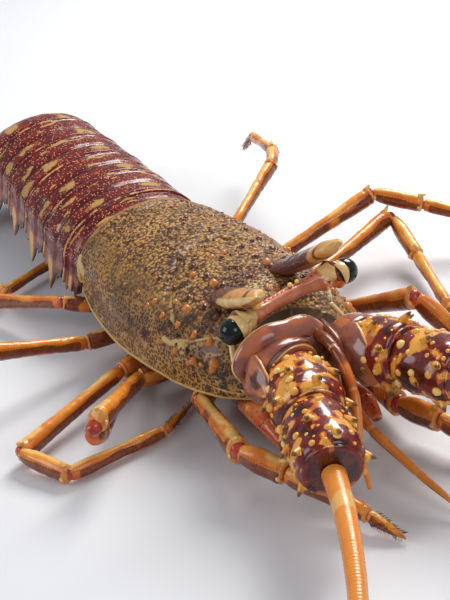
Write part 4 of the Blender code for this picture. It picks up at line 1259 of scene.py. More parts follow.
@dataclass
class Abdomen:
    """Six ringed somites with pleura drawn out into spikes."""

    lengths: tuple = (15.0, 24.0, 24.5, 24.5, 24.0, 23.0)
    start_y: float = 68.3
    axis_height: float = 28.0
    widths: tuple = (34.5, 27.5)
    crests: tuple = (22.0, 16.0)
    depths: tuple = (9.0, 7.0)
    bend_start: float = 116.0
    pitches: tuple = (8.5, -62.0)
    drops: tuple = (21.0, 12.0)
    spread: float = 7.0
    recess: float = 1.6
    rows: int = 64
    arc_columns: int = 96
    plate_columns: int = 18
    plate_thickness: float = 1.2
    belly_outline: tuple = ((0.93, 0.5), (0.75, 0.95), (0.35, 1.05), (0.0, 1.1), (-0.35, 1.05),
                            (-0.75, 0.95), (-0.93, 0.5))

    def frame(self, distance: Array) -> tuple[Array, Array]:
        """The bent axis at distances along it.

        Args:
            distance: millimetres from the front end.

        Returns:
            Its centre and its upward direction at each.
        """
        total = sum(self.lengths)
        fine = np.linspace(0.0, total + 60.0, 2400)
        share = np.clip((fine - self.bend_start) / (total - self.bend_start), 0.0, 1.0)
        rise = np.clip(fine / self.lengths[0], 0.0, 1.0)
        pitch = np.radians(mix(self.pitches[0], self.pitches[1], share)) * rise
        step = fine[1] - fine[0]
        y = self.start_y + np.concatenate([[0.0], np.cumsum(np.cos(pitch[:-1]) * step)])
        z = self.axis_height + np.concatenate([[0.0], np.cumsum(np.sin(pitch[:-1]) * step)])
        own_y, own_z = np.interp(distance, fine, y), np.interp(distance, fine, z)
        own = np.interp(distance, fine, pitch)
        zero = np.zeros_like(own)
        return np.stack([zero, own_y, own_z], -1), np.stack([zero, -np.sin(own), np.cos(own)], -1)

    def build(self) -> None:
        """Make each somite."""
        start = 0.0
        for number, length in enumerate(self.lengths, 1):
            self.somite(number, start, length)
            start += length

    def somite(self, number: int, start: float, length: float) -> None:
        """One ring of the abdomen.

        Args:
            number: which ring, from the front.
            start: where it starts along the axis.
            length: its length.
        """
        total = sum(self.lengths)
        first, last = start + 0.15, start + length + (1.3 if number < len(self.lengths) else -0.15)
        distance = np.linspace(first, last, self.rows)
        centre, rise = self.frame(distance)
        share = np.clip(distance / total, 0.0, 1.0)
        local = (distance - start) / length
        tuck = ease(0.16, 0.1, local)
        lip = ease(0.93, 0.99, local)
        middle = hump(local, 0.5, 0.05)
        inset = self.recess * tuck + 0.8 * middle + 0.25 * hump(local, 0.57, 0.03) - 0.45 * lip
        if number == 1:
            inset = inset + 0.6 * (1 - lip)
        half_width = mix(self.widths[0], self.widths[1], share ** 1.6)
        crest = mix(self.crests[0], self.crests[1], share ** 1.3)
        depth = mix(self.depths[0], self.depths[1], share)
        angle = np.linspace(-90.0, 90.0, self.arc_columns)
        bend = np.radians(angle)
        x = (half_width - inset)[:, None] * np.sin(bend)[None, :]
        z = (crest - inset)[:, None] * np.cos(bend)[None, :]
        across = np.array((1.0, 0.0, 0.0))
        arc = centre[:, None, :] + across * x[..., None] + rise[:, None, :] * z[..., None]
        drop = self.plate_drop(number, local, share)
        down = np.linspace(0.0, 1.0, self.plate_columns)[1:]
        plates = {}
        for side in (-1.0, 1.0):
            outward = (half_width - inset)[:, None] + self.spread * (drop[:, None] / 21.0) * down ** 1.3 * 0.8
            fold = 0.35 * np.sin(local * 26.0)[:, None] * down * (1 - down)
            plates[side] = (centre[:, None, :] + across * (side * (outward + fold))[..., None]
                            - rise[:, None, :] * (drop[:, None] * down)[..., None])
        belly_x, belly_z = np.array(self.belly_outline).T
        belly = (centre[:, None, :] + across * (half_width[:, None] * belly_x)[..., None]
                 - rise[:, None, :] * (depth[:, None] * belly_z)[..., None])
        wall = self.plate_thickness * (1.0 - 0.5 * down)[None, :, None]
        inner = {side: plate - across * side * wall for side, plate in plates.items()}
        grid = np.concatenate([arc, plates[1.0], inner[1.0][:, ::-1][:, :-4], belly,
                               inner[-1.0][:, 4:], plates[-1.0][:, ::-1]], 1)
        masks = self.colours(number, grid, arc.shape[1], local, angle, down)
        normal = unit(arc - centre[:, None, :])
        grid[:, :arc.shape[1]] += normal * (0.15 * noise(arc, 3.0, number))[..., None]
        dress(tube_object(f"abdomen_shell_{number}", [(grid, masks)]), ABDOMEN_FINISH, f"abdomen_{number}")

    def plate_drop(self, number: int, local: Array, share: Array) -> Array:
        """How far the side plate hangs down along a somite.

        Args:
            number: which somite, from the carapace.
            local: place along the somite, 0 at its front.
            share: place along the whole abdomen, 0 at its front.

        Returns:
            A length in millimetres for each place.
        """
        main = np.clip(1.0 - np.abs(local - 0.57) / 0.24, 0.0, 1.0) ** 1.5
        small = 0.30 * np.clip(1.0 - np.abs(local - 0.86) / 0.09, 0.0, 1.0)
        small = small + 0.22 * np.clip(1.0 - np.abs(local - 0.28) / 0.08, 0.0, 1.0)
        full = mix(self.drops[0], self.drops[1], share) + 2.0
        if number == 1:
            main = main * 0.15
        return full * (0.46 + 0.54 * np.maximum(main, small * 0.9)) * ease(-0.05, 0.12, local) + 0.5

    def colours(self, number: int, grid: Array, arc: int, local: Array, angle: Array,
                down: Array) -> dict[str, Array]:
        """Coloured areas of one somite, with painted shade and a painted highlight among them.

        Args:
            number: which ring, from the front.
            grid: its points.
            arc: how many columns the back has.
            local: share of the ring's length for each row.
            angle: angle from the crest for each column of the back.
            down: share of a side plate's height for each of its columns.

        Returns:
            The masks.
        """
        rows, columns = grid.shape[:2]
        along = local[:, None] + np.zeros((1, columns))
        turn = np.zeros((rows, columns))
        turn[:, :arc] = angle
        hang = np.zeros((rows, columns))
        count = len(down)
        hang[:, arc:arc + count] = down
        hang[:, -count:] = down[::-1]
        turn[:, arc:arc + count], turn[:, -count:] = 95.0, -95.0
        # The inner faces of the side plates and the belly, painted dark as shade.
        inside = np.zeros((rows, columns))
        inside[:, arc + count:-count] = 1.0
        spot = noise(grid, 5.0, 40 + number)
        ragged = along + 0.09 * noise(grid, 4.0, 80 + number)
        turned = np.abs(turn) + 7.0 * noise(grid, 5.0, 90 + number)
        back = np.abs(turn) < 80.0
        crest = hump(turned, 27.0, 9.0) * hump(ragged, 0.30, 0.11)
        flank = hump(turned, 62.0, 9.0) * hump(ragged, 0.34, 0.14)
        band = hump(ragged, 0.88, 0.06) * back * ease(0.0, 0.4, noise(grid, 7.0, 50 + number))
        strip = hump(ragged, 0.62, 0.05) * back * ease(0.3, 0.6, spot)
        rear = ease(0.56, 0.62, along) * ease(0.80, 0.74, along) * ease(0.3, 0.7, hang)
        face = ease(0.58, 0.54, along) * ease(0.55, 0.75, hang)
        edge = ease(0.3, 0.7, hang) * ease(-0.2, 0.3, noise(grid, 4.0, 60))
        # The groove across the middle is painted dark as shade.
        groove = hump(along, 0.5, 0.028) * (np.abs(turn) < 88.0)
        # A broken pale line along each ring's rear edge: a painted highlight.
        hem_highlight = ease(0.975, 1.0, along) * ease(-0.1, 0.3, noise(grid, 4.0, 70 + number))
        return {
            "olive": np.maximum.reduce([crest * 1.4, flank * 1.3, band, 0.8 * strip]) * (0.8 + 0.6 * spot),
            "warm": ease(0.15, 0.5, hang) * 0.8 * (1 - inside),
            "pale": np.maximum(0.8 * rear + 0.3 * edge, hem_highlight * 0.6) * (1 - inside) * (1 - face),
            # Dark: painted shade in the middle groove, on the front strip tucked under the ring before, and
            # over the inner faces and belly.
            "dark": np.maximum.reduce([groove, ease(0.15, 0.08, along) * 0.8, inside, face]),
            "fleck": (np.abs(turn) < 84.0) * (1 - groove),
        }


@dataclass
class TailFan:
    """The telson and the four flat lobes beside it.

    Each lobe is (offset, drop, heading in degrees, length, half widths, thickness).
    """

    abdomen: Abdomen
    pitch: float = -34.0
    rib_waves: float = 46.0
    telson: tuple = (0.0, 3.0, 0.0, 48.0, (11.0, 15.0, 13.5), 3.0)
    endopod: tuple = (13.0, 5.4, 20.0, 45.0, (6.0, 12.0, 11.5), 2.4)
    exopod: tuple = (17.0, 8.6, 42.0, 47.0, (6.0, 13.5, 13.0), 2.4)

    def build(self) -> None:
        """Make the five lobes."""
        self.lobe("telson", 1.0, self.telson)
        for name, lobe in (("endopod", self.endopod), ("exopod", self.exopod)):
            self.lobe(name + "_R", -1.0, lobe)
            self.lobe(name + "_L", 1.0, lobe)

    def lobe(self, name: str, side: float, lobe: tuple) -> None:
        """One lobe with fine ribs and a rounded, fringed end.

        Args:
            name: its CAD node.
            side: 1 for the left side, -1 for the right one.
            lobe: its sizes.
        """
        offset, drop, heading, length, half_widths, thickness = lobe
        end = self.abdomen.frame(np.array([sum(self.abdomen.lengths)]))[0][0]
        turn, pitch = math.radians(heading) * side, math.radians(self.pitch)
        ahead = np.array((0.0, math.cos(pitch), math.sin(pitch)))
        rise = np.array((0.0, -math.sin(pitch), math.cos(pitch)))
        along = np.array((math.sin(turn), 0.0, 0.0)) + ahead * math.cos(turn)
        start = end + np.array((side * offset, 0.0, 0.0)) + ahead * 0.8 + rise * (1.5 - drop)
        share = np.linspace(0.0, 1.0, 70)
        table = ((0.0, half_widths[0], 1.0), (0.35, half_widths[1], 0.9), (0.75, half_widths[2], 0.7),
                 (0.93, half_widths[2] * 0.72, 0.55), (1.0, half_widths[2] * 0.3, 0.4))
        values = curve_through(table, share)
        path = start + along * (length * share)[:, None]
        grid, angles = sweep(path, values[:, 0], values[:, 1] * thickness * 0.5, 72, rise)
        across = np.cos(angles)[None, :] + 0 * share[:, None]
        far = share[:, None] + 0 * across
        waves = np.sin(across * self.rib_waves)
        ribs = waves * ease(0.25, 0.6, far) * 0.16 + hump(across, 0.0, 0.12) * 0.5 * (1 - far)
        grid = grid + np.sign(np.sin(angles))[None, :, None] * rise * ribs[..., None]
        # hollow: the troughs between the ribs, painted dark as shade.
        hollow = ease(0.1, -0.5, waves) * ease(0.3, 0.6, far)
        masks = {
            "warm": 0.45 * ease(0.5, 0.85, far) * (1 - 0.6 * hollow),
            "pale": ease(0.95, 1.0, far) * 0.4,
            "olive": hump(far, 0.12, 0.1) * hump(across, 0.0, 0.5),
            "fleck": ease(0.6, 0.3, far),
            "dark": np.maximum(hump(np.abs(across), 1.0, 0.12) * 0.6, 0.55 * hollow),
        }
        dress(tube_object(name + "_shell", [(grid, masks)]), FAN_FINISH, name)


@dataclass
class Leg:
    """One walking leg in its lie: five parts with rims, knobs and red joint skin."""

    name: str
    base: tuple
    lengths: tuple
    section: tuple
    pose: tuple
    fold: float = 0.8
    ischium: tuple = ((-0.02, 0.9), (0.3, 0.88), (0.6, 1.0), (0.9, 0.96), (1.02, 0.8))
    merus: tuple = ((-0.02, 0.66), (0.08, 0.8), (0.3, 0.8), (0.65, 0.9), (0.88, 1.02), (0.97, 1.0),
                    (1.0, 0.9))
    carpus: tuple = ((-0.02, 0.6), (0.2, 0.88), (0.75, 0.96), (0.95, 0.92), (1.02, 0.8))
    propodus: tuple = ((-0.02, 0.62), (0.06, 0.74), (0.5, 0.66), (0.92, 0.68), (1.0, 0.58))
    dactyl: tuple = ((-0.04, 0.44), (0.1, 0.5), (0.3, 0.47), (0.75, 0.26), (1.0, 0.05))
    hairs: int = 170
    lowest_hair: float = 2.4

    def joints(self) -> Array:
        """The leg's bends, from its root to its tip.

        Returns:
            Six places.
        """
        point = np.array(self.base, float)
        point[0] *= -1.0 if self.name[0] == "R" else 1.0
        joints = [point]
        for length, (heading, pitch) in zip(self.lengths, self.pose):
            heading, pitch = math.radians(heading), math.radians(pitch)
            step = np.array((math.cos(pitch) * math.cos(heading), math.cos(pitch) * math.sin(heading),
                             math.sin(pitch)))
            point = point + step * length
            joints.append(point)
        return np.array(joints)

    def knee(self, joints: Array) -> Array:
        """Where the carpus starts, beside the merus when the leg is folded.

        Args:
            joints: the leg's joint places.

        Returns:
            One place.
        """
        merus, carpus = unit(joints[2] - joints[1]), unit(joints[3] - joints[2])
        fold = max(0.0, -float(merus @ carpus))
        sideways = unit(carpus - merus * (merus @ carpus))
        return joints[2] + sideways * fold * self.section[0] * self.fold

    def part(self, start: Array, end: Array, profile: tuple, rows: int, seed: int,
             around: int = 36, marbled: float = 0.0) -> tuple[Array, dict[str, Array]]:
        """One part of the leg.

        Args:
            start: its near joint.
            end: its far joint.
            profile: (place along it, size as a share of the leg's section) from end to end.
            rows: sections along it.
            seed: which pattern.
            around: points in each section.
            marbled: 0 for a plain dark side stripe, 1 for dark veins all over.

        Returns:
            Its grid and masks.
        """
        profile = np.asarray(profile, float)
        share = np.linspace(profile[0, 0], profile[-1, 0], rows)
        size = curve_through(profile, share)[:, 0]
        round_off = np.sqrt(np.clip((share - profile[0, 0]) / 0.05, 0.02, 1.0)
                            * np.clip((profile[-1, 0] - share) / 0.03, 0.05, 1.0))
        path = start + (end - start) * share[:, None]
        grid, angles = sweep(path, self.section[1] * 0.5 * size * round_off,
                             self.section[0] * 0.5 * size * round_off, around)
        along = share[:, None] + 0 * angles[None, :]
        turn = angles[None, :] + 0 * share[:, None]
        length = float(np.linalg.norm(end - start))
        saw = 0.22 * np.abs(((along * length / 1.3) % 1.0) - 0.5)
        height = np.sin(turn)
        wander = 0.30 * noise(grid, 9.0, seed) + saw
        dark = ease(0.60, 0.46, height + wander) * ease(-0.80, -0.60, height + wander)
        marble = noise(grid, 6.0, seed + 8)
        veins = ease(marble.mean() - 0.2 * marble.std(), marble.mean() + 0.4 * marble.std(), marble)
        dark = mix(dark, veins, marbled)
        blush = hump(height + wander, 0.66, 0.12)
        rim = ease(0.945, 0.965, along)
        near = ease(0.12, 0.04, along)
        collar = 0.25 * hump(along, 0.97, 0.015) - 0.3 * hump(along, 0.93, 0.012)
        grid = raised(grid, path, collar + 0.14 * noise(grid, 2.5, seed + 3))
        masks = {
            "dark": dark * (1 - rim) * (1 - near) * ease(-0.8, -0.3, noise(grid, 16.0, seed + 5) + 0.25),
            "pale": np.maximum(0.45 * rim,
                               0.62 * ease(0.7, 0.97, height) * ease(-0.25, 0.1, noise(grid, 12.0, seed))),
            "warm": np.maximum.reduce([0.6 * ease(0.4, -0.4, height) + 0.5 * near, 0.75 * blush, 0.5 * rim,
                                       0.5 * ease(0.1, 0.6, noise(grid, 11.0, seed + 6))]),
            "fleck": 0.5 * ease(0.2, 0.8, height),
        }
        return grid, masks

    def build(self) -> None:
        """Make the leg's pieces."""
        joints = self.joints()
        seed = 100 + int(self.name[1]) * 7 + (3 if self.name[0] == "R" else 0)
        knee = self.knee(joints)
        foremost = self.name[1] == "1"
        upper = [
            self.part(joints[0], joints[1], self.ischium, 60, seed, marbled=0.9),
            self.part(joints[1], joints[2], self.merus, 150, seed + 1, marbled=0.55 if foremost else 0.0)]
        dress(tube_object(f"leg_upper_{self.name}", upper), LEG_FINISH, f"leg_{self.name}_merus")
        lower = [
            self.part(knee, joints[3], self.carpus, 50, seed + 2),
            self.part(joints[3], joints[4], self.propodus, 80, seed + 3)]
        dress(tube_object(f"leg_lower_{self.name}", lower), LEG_FINISH, f"leg_{self.name}_propodus")
        tip = [self.part(joints[4], joints[5], self.dactyl, 50, seed + 4, 24)]
        dress(tube_object(f"leg_tip_{self.name}", tip), LEG_FINISH, f"leg_{self.name}_dactyl")
        self.membranes(joints, knee)
        self.knobs(joints)
        self.bristles(joints)

    def membranes(self, joints: Array, knee: Array) -> None:
        """Soft red skin inside the joints.

        Args:
            joints: the leg's joint places.
            knee: where the carpus starts.
        """
        tubes = []
        places = ((joints[2], knee, 0.36), (joints[1], joints[1], 0.36), (joints[3], joints[3], 0.30))
        for start, end, size in places:
            before = unit(joints[1] - joints[0]) if end is joints[1] else unit(joints[2] - joints[1])
            reach = self.section[0] * 0.26
            path = np.linspace(start - before * reach, end + before * reach * 0.6, 14)
            swell = np.sin(np.linspace(0.15, math.pi - 0.15, 14)) ** 0.5
            radius = self.section[0] * size * swell
            grid, _ = sweep(path, radius * 0.9, radius, 20)
            tubes.append((raised(grid, path, 0.25 * noise(grid, 1.8, 6)), {}))
        dress(tube_object(f"leg_skin_{self.name}", tubes), MEMBRANE_FINISH)

    def knobs(self, joints: Array) -> None:
        """Pale hinge knobs and a few small spines at the ends of the long parts.

        Args:
            joints: the leg's joint places.
        """
        beads = Scatter(ScatterForm.BEAD)
        spines = Scatter(ScatterForm.SPINE)
        for start, end in ((joints[1], joints[2]), (joints[2], joints[3])):
            axis = unit(end - start)
            side = unit(np.cross(axis, UP))
            rise = np.cross(side, axis)
            for sign in (-1.0, 1.0):
                root = end - axis * 1.2 + side * sign * self.section[1] * 0.40 - rise * 0.8
                beads.add(root, side * sign, 2.4, 2.2, 0.95)
            root = end - axis * 2.6 + rise * self.section[0] * 0.44
            spines.add(root, unit(axis + rise * 0.5), 2.4, 3.6, 0.95)
        beads.build(f"leg_knobs_{self.name}", LEG_FINISH, 14)
        spines.build(f"leg_spines_{self.name}", LEG_FINISH, 9)

    def bristles(self, joints: Array) -> None:
        """Short stiff hairs round the tip of the leg.

        Args:
            joints: the leg's joint places.
        """
        hairs = Scatter(ScatterForm.BRISTLE)
        draw = np.random.default_rng(int(self.name[1]) * 10 + (1 if self.name[0] == "R" else 0))
        axis = unit(joints[5] - joints[4])
        side = unit(np.cross(axis, UP))
        rise = np.cross(side, axis)
        for _ in range(self.hairs):
            share = draw.uniform(0.05, 0.9)
            turn = draw.uniform(0.0, 2 * math.pi)
            outward = side * math.cos(turn) + rise * math.sin(turn)
            radius = self.section[0] * 0.5 * mix(0.46, 0.14, share)
            root = joints[4] + (joints[5] - joints[4]) * share + outward * radius * 0.9
            if root[2] < self.lowest_hair and outward[2] < 0.0:
                continue
            aim = unit(outward * 0.8 + axis)
            hairs.add(root + (outward + axis) * 0.35, aim, 0.22, draw.uniform(1.2, 2.2), 0.2)
        hairs.build(f"leg_bristles_{self.name}", LEG_FINISH, 4)


# For each leg, from the front: root of the left one, lengths of its five parts, and section of its merus
LEG_BASES = {1: (22.0, -34.0, 11.0), 2: (23.0, -13.0, 11.0), 3: (24.0, 8.0, 12.0), 4: (26.0, 29.0, 13.0),
             5: (26.0, 53.0, 13.0)}
LEG_LENGTHS = {1: (18.0, 54.0, 20.0, 36.0, 16.0), 2: (22.0, 60.0, 22.0, 42.0, 22.0),
               3: (24.0, 62.0, 27.0, 45.0, 25.0), 4: (24.0, 56.0, 24.0, 42.0, 22.0),
               5: (24.0, 48.0, 19.0, 40.0, 20.0)}
LEG_SECTIONS = {1: (11.0, 8.6), 2: (9.2, 7.6), 3: (8.6, 7.2), 4: (8.4, 7.0), 5: (7.4, 6.2)}
# Heading and pitch in degrees of each of a leg's five parts
LEG_POSES = {
    "R1": ((-135, 7), (-101, 7), (-62, -14), (-66, -13), (-69, -17)),
    "R2": ((175, 3), (-130, 16), (69, -42), (52, -7), (54, -17)),
    "R3": ((-168, -3), (-158, -4), (-68, -4), (4, -1), (37, -5)),
    "R4": ((168, -2), (-172, 20), (-146, -7), (-148, -21), (-146, -25)),
    "R5": ((155, 17), (113, -11), (60, -15), (21, 0), (37, -11)),
    "L5": ((28, 31), (35, 13), (59, -3), (77, -9), (85, -38)),
    "L4": ((12, 9), (-1, 14), (-42, -16), (-48, -15), (-38, -27)),
    "L3": ((-8, 7), (19, 5), (-96, -23), (-108, -5), (-103, -7)),
    "L2": ((-20, 5), (-79, 23), (-43, -50), (-75, -16), (-76, -16)),
    "L1": ((-65, -6), (-97, 4), (-75, 0), (-72, -10), (-75, -17)),
}


@dataclass
class Antenna:
    """One long antenna: three stout spiny parts and a whip."""

    side: str
    path: tuple
    turn: float
    radii: tuple
    whip_length: float = 280.0
    whip_radii: tuple = (4.6, 0.7)
    end_height: float = 1.6
    whip_steps: int = 16
    whip_rows: int = 900
    ring_pitch: float = 1.5
    section_table: tuple = ((-0.06, 0.82), (0.12, 0.96), (0.5, 1.0), (0.85, 0.97), (1.0, 0.82))
    thorn_rows: tuple = (0.4, 0.75)
    thorns_per_row: int = 5
    thorn_reach: tuple = (4.2, 4.6)
    thorn_width: float = 3.91
    tubercle_widths: tuple = (1.4, 1.9, 2.6, 3.3, 3.9)
    tubercle_odds: tuple = (0.3, 0.25, 0.2, 0.15, 0.1)
    tubercle_tries: int = 420

    def build(self) -> None:
        """Make the three parts, their spines and the whip."""
        path = [np.array(point) for point in self.path]
        thorns = Scatter(ScatterForm.SPINE)
        beads = Scatter(ScatterForm.BEAD)
        draw = np.random.default_rng(5 if self.side == "R" else 6)
        for number, (start, end, radius) in enumerate(zip(path, path[1:], self.radii), 1):
            self.stout_part(number, start, end, radius)
            if number > 1:
                self.grow(start, end, radius, thorns, beads, draw)
        thorns.build(f"antenna_thorns_{self.side}", TUBERCLE_FINISH, 12)
        beads.build(f"antenna_beads_{self.side}", TUBERCLE_FINISH, 14)
        self.whip(path)

    def stout_part(self, number: int, start: Array, end: Array, radius: float) -> None:
        """One stout part, narrower at both joints.

        Args:
            number: which part, from the head.
            start: its near joint.
            end: its far joint.
            radius: its radius.
        """
        share = np.linspace(-0.05, 1.0, 90)
        ends = np.clip((1.003 - share) / 0.03, 0.0, 1.0) * np.clip((share + 0.053) / 0.03, 0.0, 1.0)
        size = curve_through(self.section_table, share)[:, 0] * np.sqrt(ends)
        path = start + (end - start) * share[:, None]
        grid, angles = sweep(path, radius * size, radius * size * 0.92, 96)
        along = share[:, None] + 0 * angles[None, :]
        seed = 200 + number * 5 + (2 if self.side == "R" else 0)
        grid = raised(grid, path, 0.45 * noise(grid, 5.0, seed) - 0.7 * hump(along, 0.93, 0.015))
        blot = 0.7 * noise(grid, 7.0, seed + 1) + 0.7 * noise(grid, 3.0, seed + 2)
        rim = ease(0.93, 0.97, along)
        finish = PLATE_FINISH if number == 1 else PEDUNCLE_FINISH
        masks = {"warm": ease(0.12, 0.3, blot) * (1 - rim), "olive": 0.8 * ease(0.02, 0.12, blot),
                 "pale": np.maximum(0.8 * hump(along, 0.955, 0.015) * ease(-0.4, 0.2, blot),
                                    ease(0.6, 0.95, blot) * 0.6),
                 "dark": np.maximum(ease(-0.35, -0.6, blot) * 0.8, ease(0.97, 0.99, along)),
                 "fleck": 0.6}
        if number == 1:
            masks = {"pale": 0.9 * hump(along, 0.955, 0.015), "warm": 0.6 * ease(0.1, 0.6, blot),
                     "olive": 0.5 * ease(0.0, 0.5, noise(grid, 9.0, seed)),
                     "dark": np.maximum.reduce([0.9 * hump(along, 0.89, 0.03), 0.4 * ease(-0.3, -0.7, blot),
                                                ease(0.97, 0.99, along)])}
        dress(tube_object(f"antenna_shell_{self.side}_{number}", [(grid, masks)]), finish,
              f"antenna_{self.side}_{number}")

    def grow(self, start: Array, end: Array, radius: float, thorns: Scatter, beads: Scatter,
             draw: np.random.Generator) -> None:
        """Dark-tipped spines and domed tubercles on one part.

        Args:
            start: its near joint.
            end: its far joint.
            radius: its radius.
            thorns: collects the spines.
            beads: collects the tubercles.
            draw: source of the seeded places.
        """
        axis = unit(end - start)
        side = unit(np.cross(axis, UP))
        rise = np.cross(side, axis)
        for row, share in enumerate(self.thorn_rows):
            for step in range(self.thorns_per_row):
                turn = 2 * math.pi * (step + 0.5 * row) / self.thorns_per_row
                outward = side * math.cos(turn) + rise * math.sin(turn)
                root = start + (end - start) * share + outward * radius * 0.9
                aim = outward * self.thorn_reach[0] + axis * self.thorn_reach[1]
                length = float(np.linalg.norm(aim)) + 1.0
                thorns.add(root - outward * 0.8, unit(aim), self.thorn_width, length, 0.6)
        taken = []
        for _ in range(self.tubercle_tries):
            share, turn = draw.uniform(0.1, 0.9), draw.uniform(0.0, 2 * math.pi)
            width = draw.choice(self.tubercle_widths, p=self.tubercle_odds)
            outward = side * math.cos(turn) + rise * math.sin(turn) * 0.92
            place = start + (end - start) * share + outward * radius * 0.95
            if any(np.linalg.norm(place - other) < 0.62 * (width + size) for other, size in taken):
                continue
            taken.append((place, width))
            beads.add(place, unit(outward + axis * 0.35), width, width * 0.95, draw.uniform(0.45, 0.95))

    def whip(self, path: list) -> None:
        """The long whip with its rings.

        Args:
            path: the joints of the stout parts.
        """
        axis = unit(path[3] - path[2])
        heading = math.atan2(axis[1], axis[0])
        point = path[3] + axis * 0.8
        points, top = [point], point[2]
        for step in range(self.whip_steps):
            share = (step + 1) / self.whip_steps
            turned = heading + math.radians(self.turn) * share
            ahead = np.array((math.cos(turned), math.sin(turned), 0.0))
            point = point + ahead * self.whip_length / self.whip_steps
            point[2] = mix(top, self.end_height, ease(0.0, 1.0, share))
            points.append(point.copy())
        centre = smooth_path(points, self.whip_rows)
        share = np.linspace(0.0, 1.0, self.whip_rows)
        radius = mix(*self.whip_radii, share ** 0.75)
        ring = np.abs(np.sin(share * self.whip_length / self.ring_pitch * math.pi))
        radius = radius * (0.95 + 0.05 * ring ** 0.5)
        radius[-1] = 0.1
        grid, angles = sweep(centre, radius, radius, 16)
        masks = {"dark": ease(0.3, 0.05, ring)[:, None] * 0.35,
                 "pale": ease(0.3, 0.7, noise(grid, 12.0, 3)) * 0.7,
                 "warm": ease(0.0, 0.5, np.sin(angles))}
        dress(tube_object(f"whip_{self.side}", [(grid, masks)]), WHIP_FINISH, f"flagellum_{self.side}")


@dataclass
class SurfacePlate:
    """A smooth thin plate at the front of the head."""

    name: str
    line: tuple
    widths: tuple
    thickness: float
    facing: tuple
    tint: str = "warm"
    spot: float = 0.0

    def build(self) -> None:
        """Make the plate, domed across and rounded at both ends."""
        share = np.linspace(0.0, 1.0, 90)
        near = np.minimum(share, 1 - share)
        path = smooth_path(self.line, len(share))
        width = np.interp(share, np.linspace(0.0, 1.0, len(self.widths)), self.widths)
        width = width * np.sqrt(np.clip(near / 0.12, 0.002, 1.0))
        height = self.thickness * np.sqrt(np.clip(near / 0.06, 0.01, 1.0))
        grid, angles = sweep(path, width * 0.5, height, 48, np.array(self.facing))
        edge = np.abs(np.cos(angles))[None, :] + 0 * share[:, None]
        spot = noise(grid, 5.0, 90)
        masks = {"pale": np.maximum(ease(0.86, 0.97, edge), ease(0.9, 0.98, share)[:, None]),
                 self.tint: 0.62 * ease(-0.3, 0.5, spot) + 0 * edge,
                 "dark": np.maximum(0.9 * hump(edge, 0.80, 0.05) * ease(0.0, 0.4, noise(grid, 9.0, 91)),
                                    self.spot * ease(0.8, 0.6, edge) * hump(share, 0.62, 0.2)[:, None])}
        dress(tube_object(self.name, [(grid, masks)]), PLATE_FINISH)


@dataclass
class Rod:
    """A slim jointed feeler."""

    name: str
    node: str
    points: tuple
    radii: tuple
    finish: ShellFinish
    dark_root: float = 0.0
    freckles: float = 0.0

    def build(self) -> None:
        """Make the rod with a fine ring at each joint."""
        known = np.linspace(0.0, 1.0, len(self.radii))
        share = np.linspace(0.0, 1.0, 220)
        path = smooth_path(self.points, len(share))
        radius = np.interp(share, known, self.radii)
        joint = sum(hump(share, place, 0.012) for place in known[1:-1])
        radius = radius * (1.0 - 0.12 * joint)
        radius[0], radius[-1] = radius[0] * 0.6, 0.1
        grid, angles = sweep(path, radius, radius, 24)
        along = share[:, None] + 0 * angles[None, :]
        # Painted shade along the underside and a painted highlight along one side; the pale rings at the
        # joints are the rod's own colour.
        shade = ease(0.2, -0.3, np.sin(angles)[None, :] + 0.4 * noise(grid, 8.0, 5)) * 0.7
        joint_rings_and_side_highlight = np.maximum((joint[:, None] > 0.6) * 0.5, 0.5 * hump(np.cos(angles), -1.0, 0.3))
        masks = {"dark": np.maximum(shade, self.dark_root * ease(0.42, 0.3, along)),
                 "pale": joint_rings_and_side_highlight,
                 "warm": ease(0.4, 0.7, along),
                 "fleck": self.freckles}
        dress(tube_object(self.name, [(grid, masks)]), self.finish, self.node)


@dataclass
class Thorax:
    """The underside that carries the legs."""

    carapace: Carapace
    stations: tuple = ((-74.0, 8.0, 15.0), (-50.0, 12.0, 19.0), (-10.0, 15.0, 22.0), (30.0, 18.0, 25.0),
                       (62.0, 18.0, 25.0))
    side_height: float = 8.0

    def build(self) -> None:
        """Make the sternum with a groove between each pair of legs."""
        y = np.linspace(self.stations[0][0], self.stations[-1][0], 120)
        values = curve_through(self.stations, y)
        foot, side = values[:, 0], values[:, 1]
        top = curve_through(self.carapace.stations, y)[:, 3] + 1.4
        groove = 1.0 - 0.05 * np.cos((y - 8.0) / 21.0 * 2 * math.pi)
        corners = [(-foot, 0 * y), (-foot * 0.4, 0 * y), (foot * 0.4, 0 * y), (foot, 0 * y),
                   (side * groove * 0.93, 0 * y + 4.0), (side * groove, 0 * y + self.side_height),
                   (side * groove, top * 0.7), (side, top), (-side, top), (-side * groove, top * 0.7),
                   (-side * groove, 0 * y + self.side_height), (-side * groove * 0.93, 0 * y + 4.0)]
        grid = np.stack([np.stack([x, y, z], -1) for x, z in corners], 1)
        blot = noise(grid, 10.0, 70)
        masks = {"warm": ease(0.1, 0.5, blot), "dark": ease(-0.2, -0.6, blot),
                 "pale": hump(grid[..., 0], 0.0, 9.0)}
        dress(tube_object("thorax_shell", [(grid, masks)]), BELLY_FINISH, "thorax")


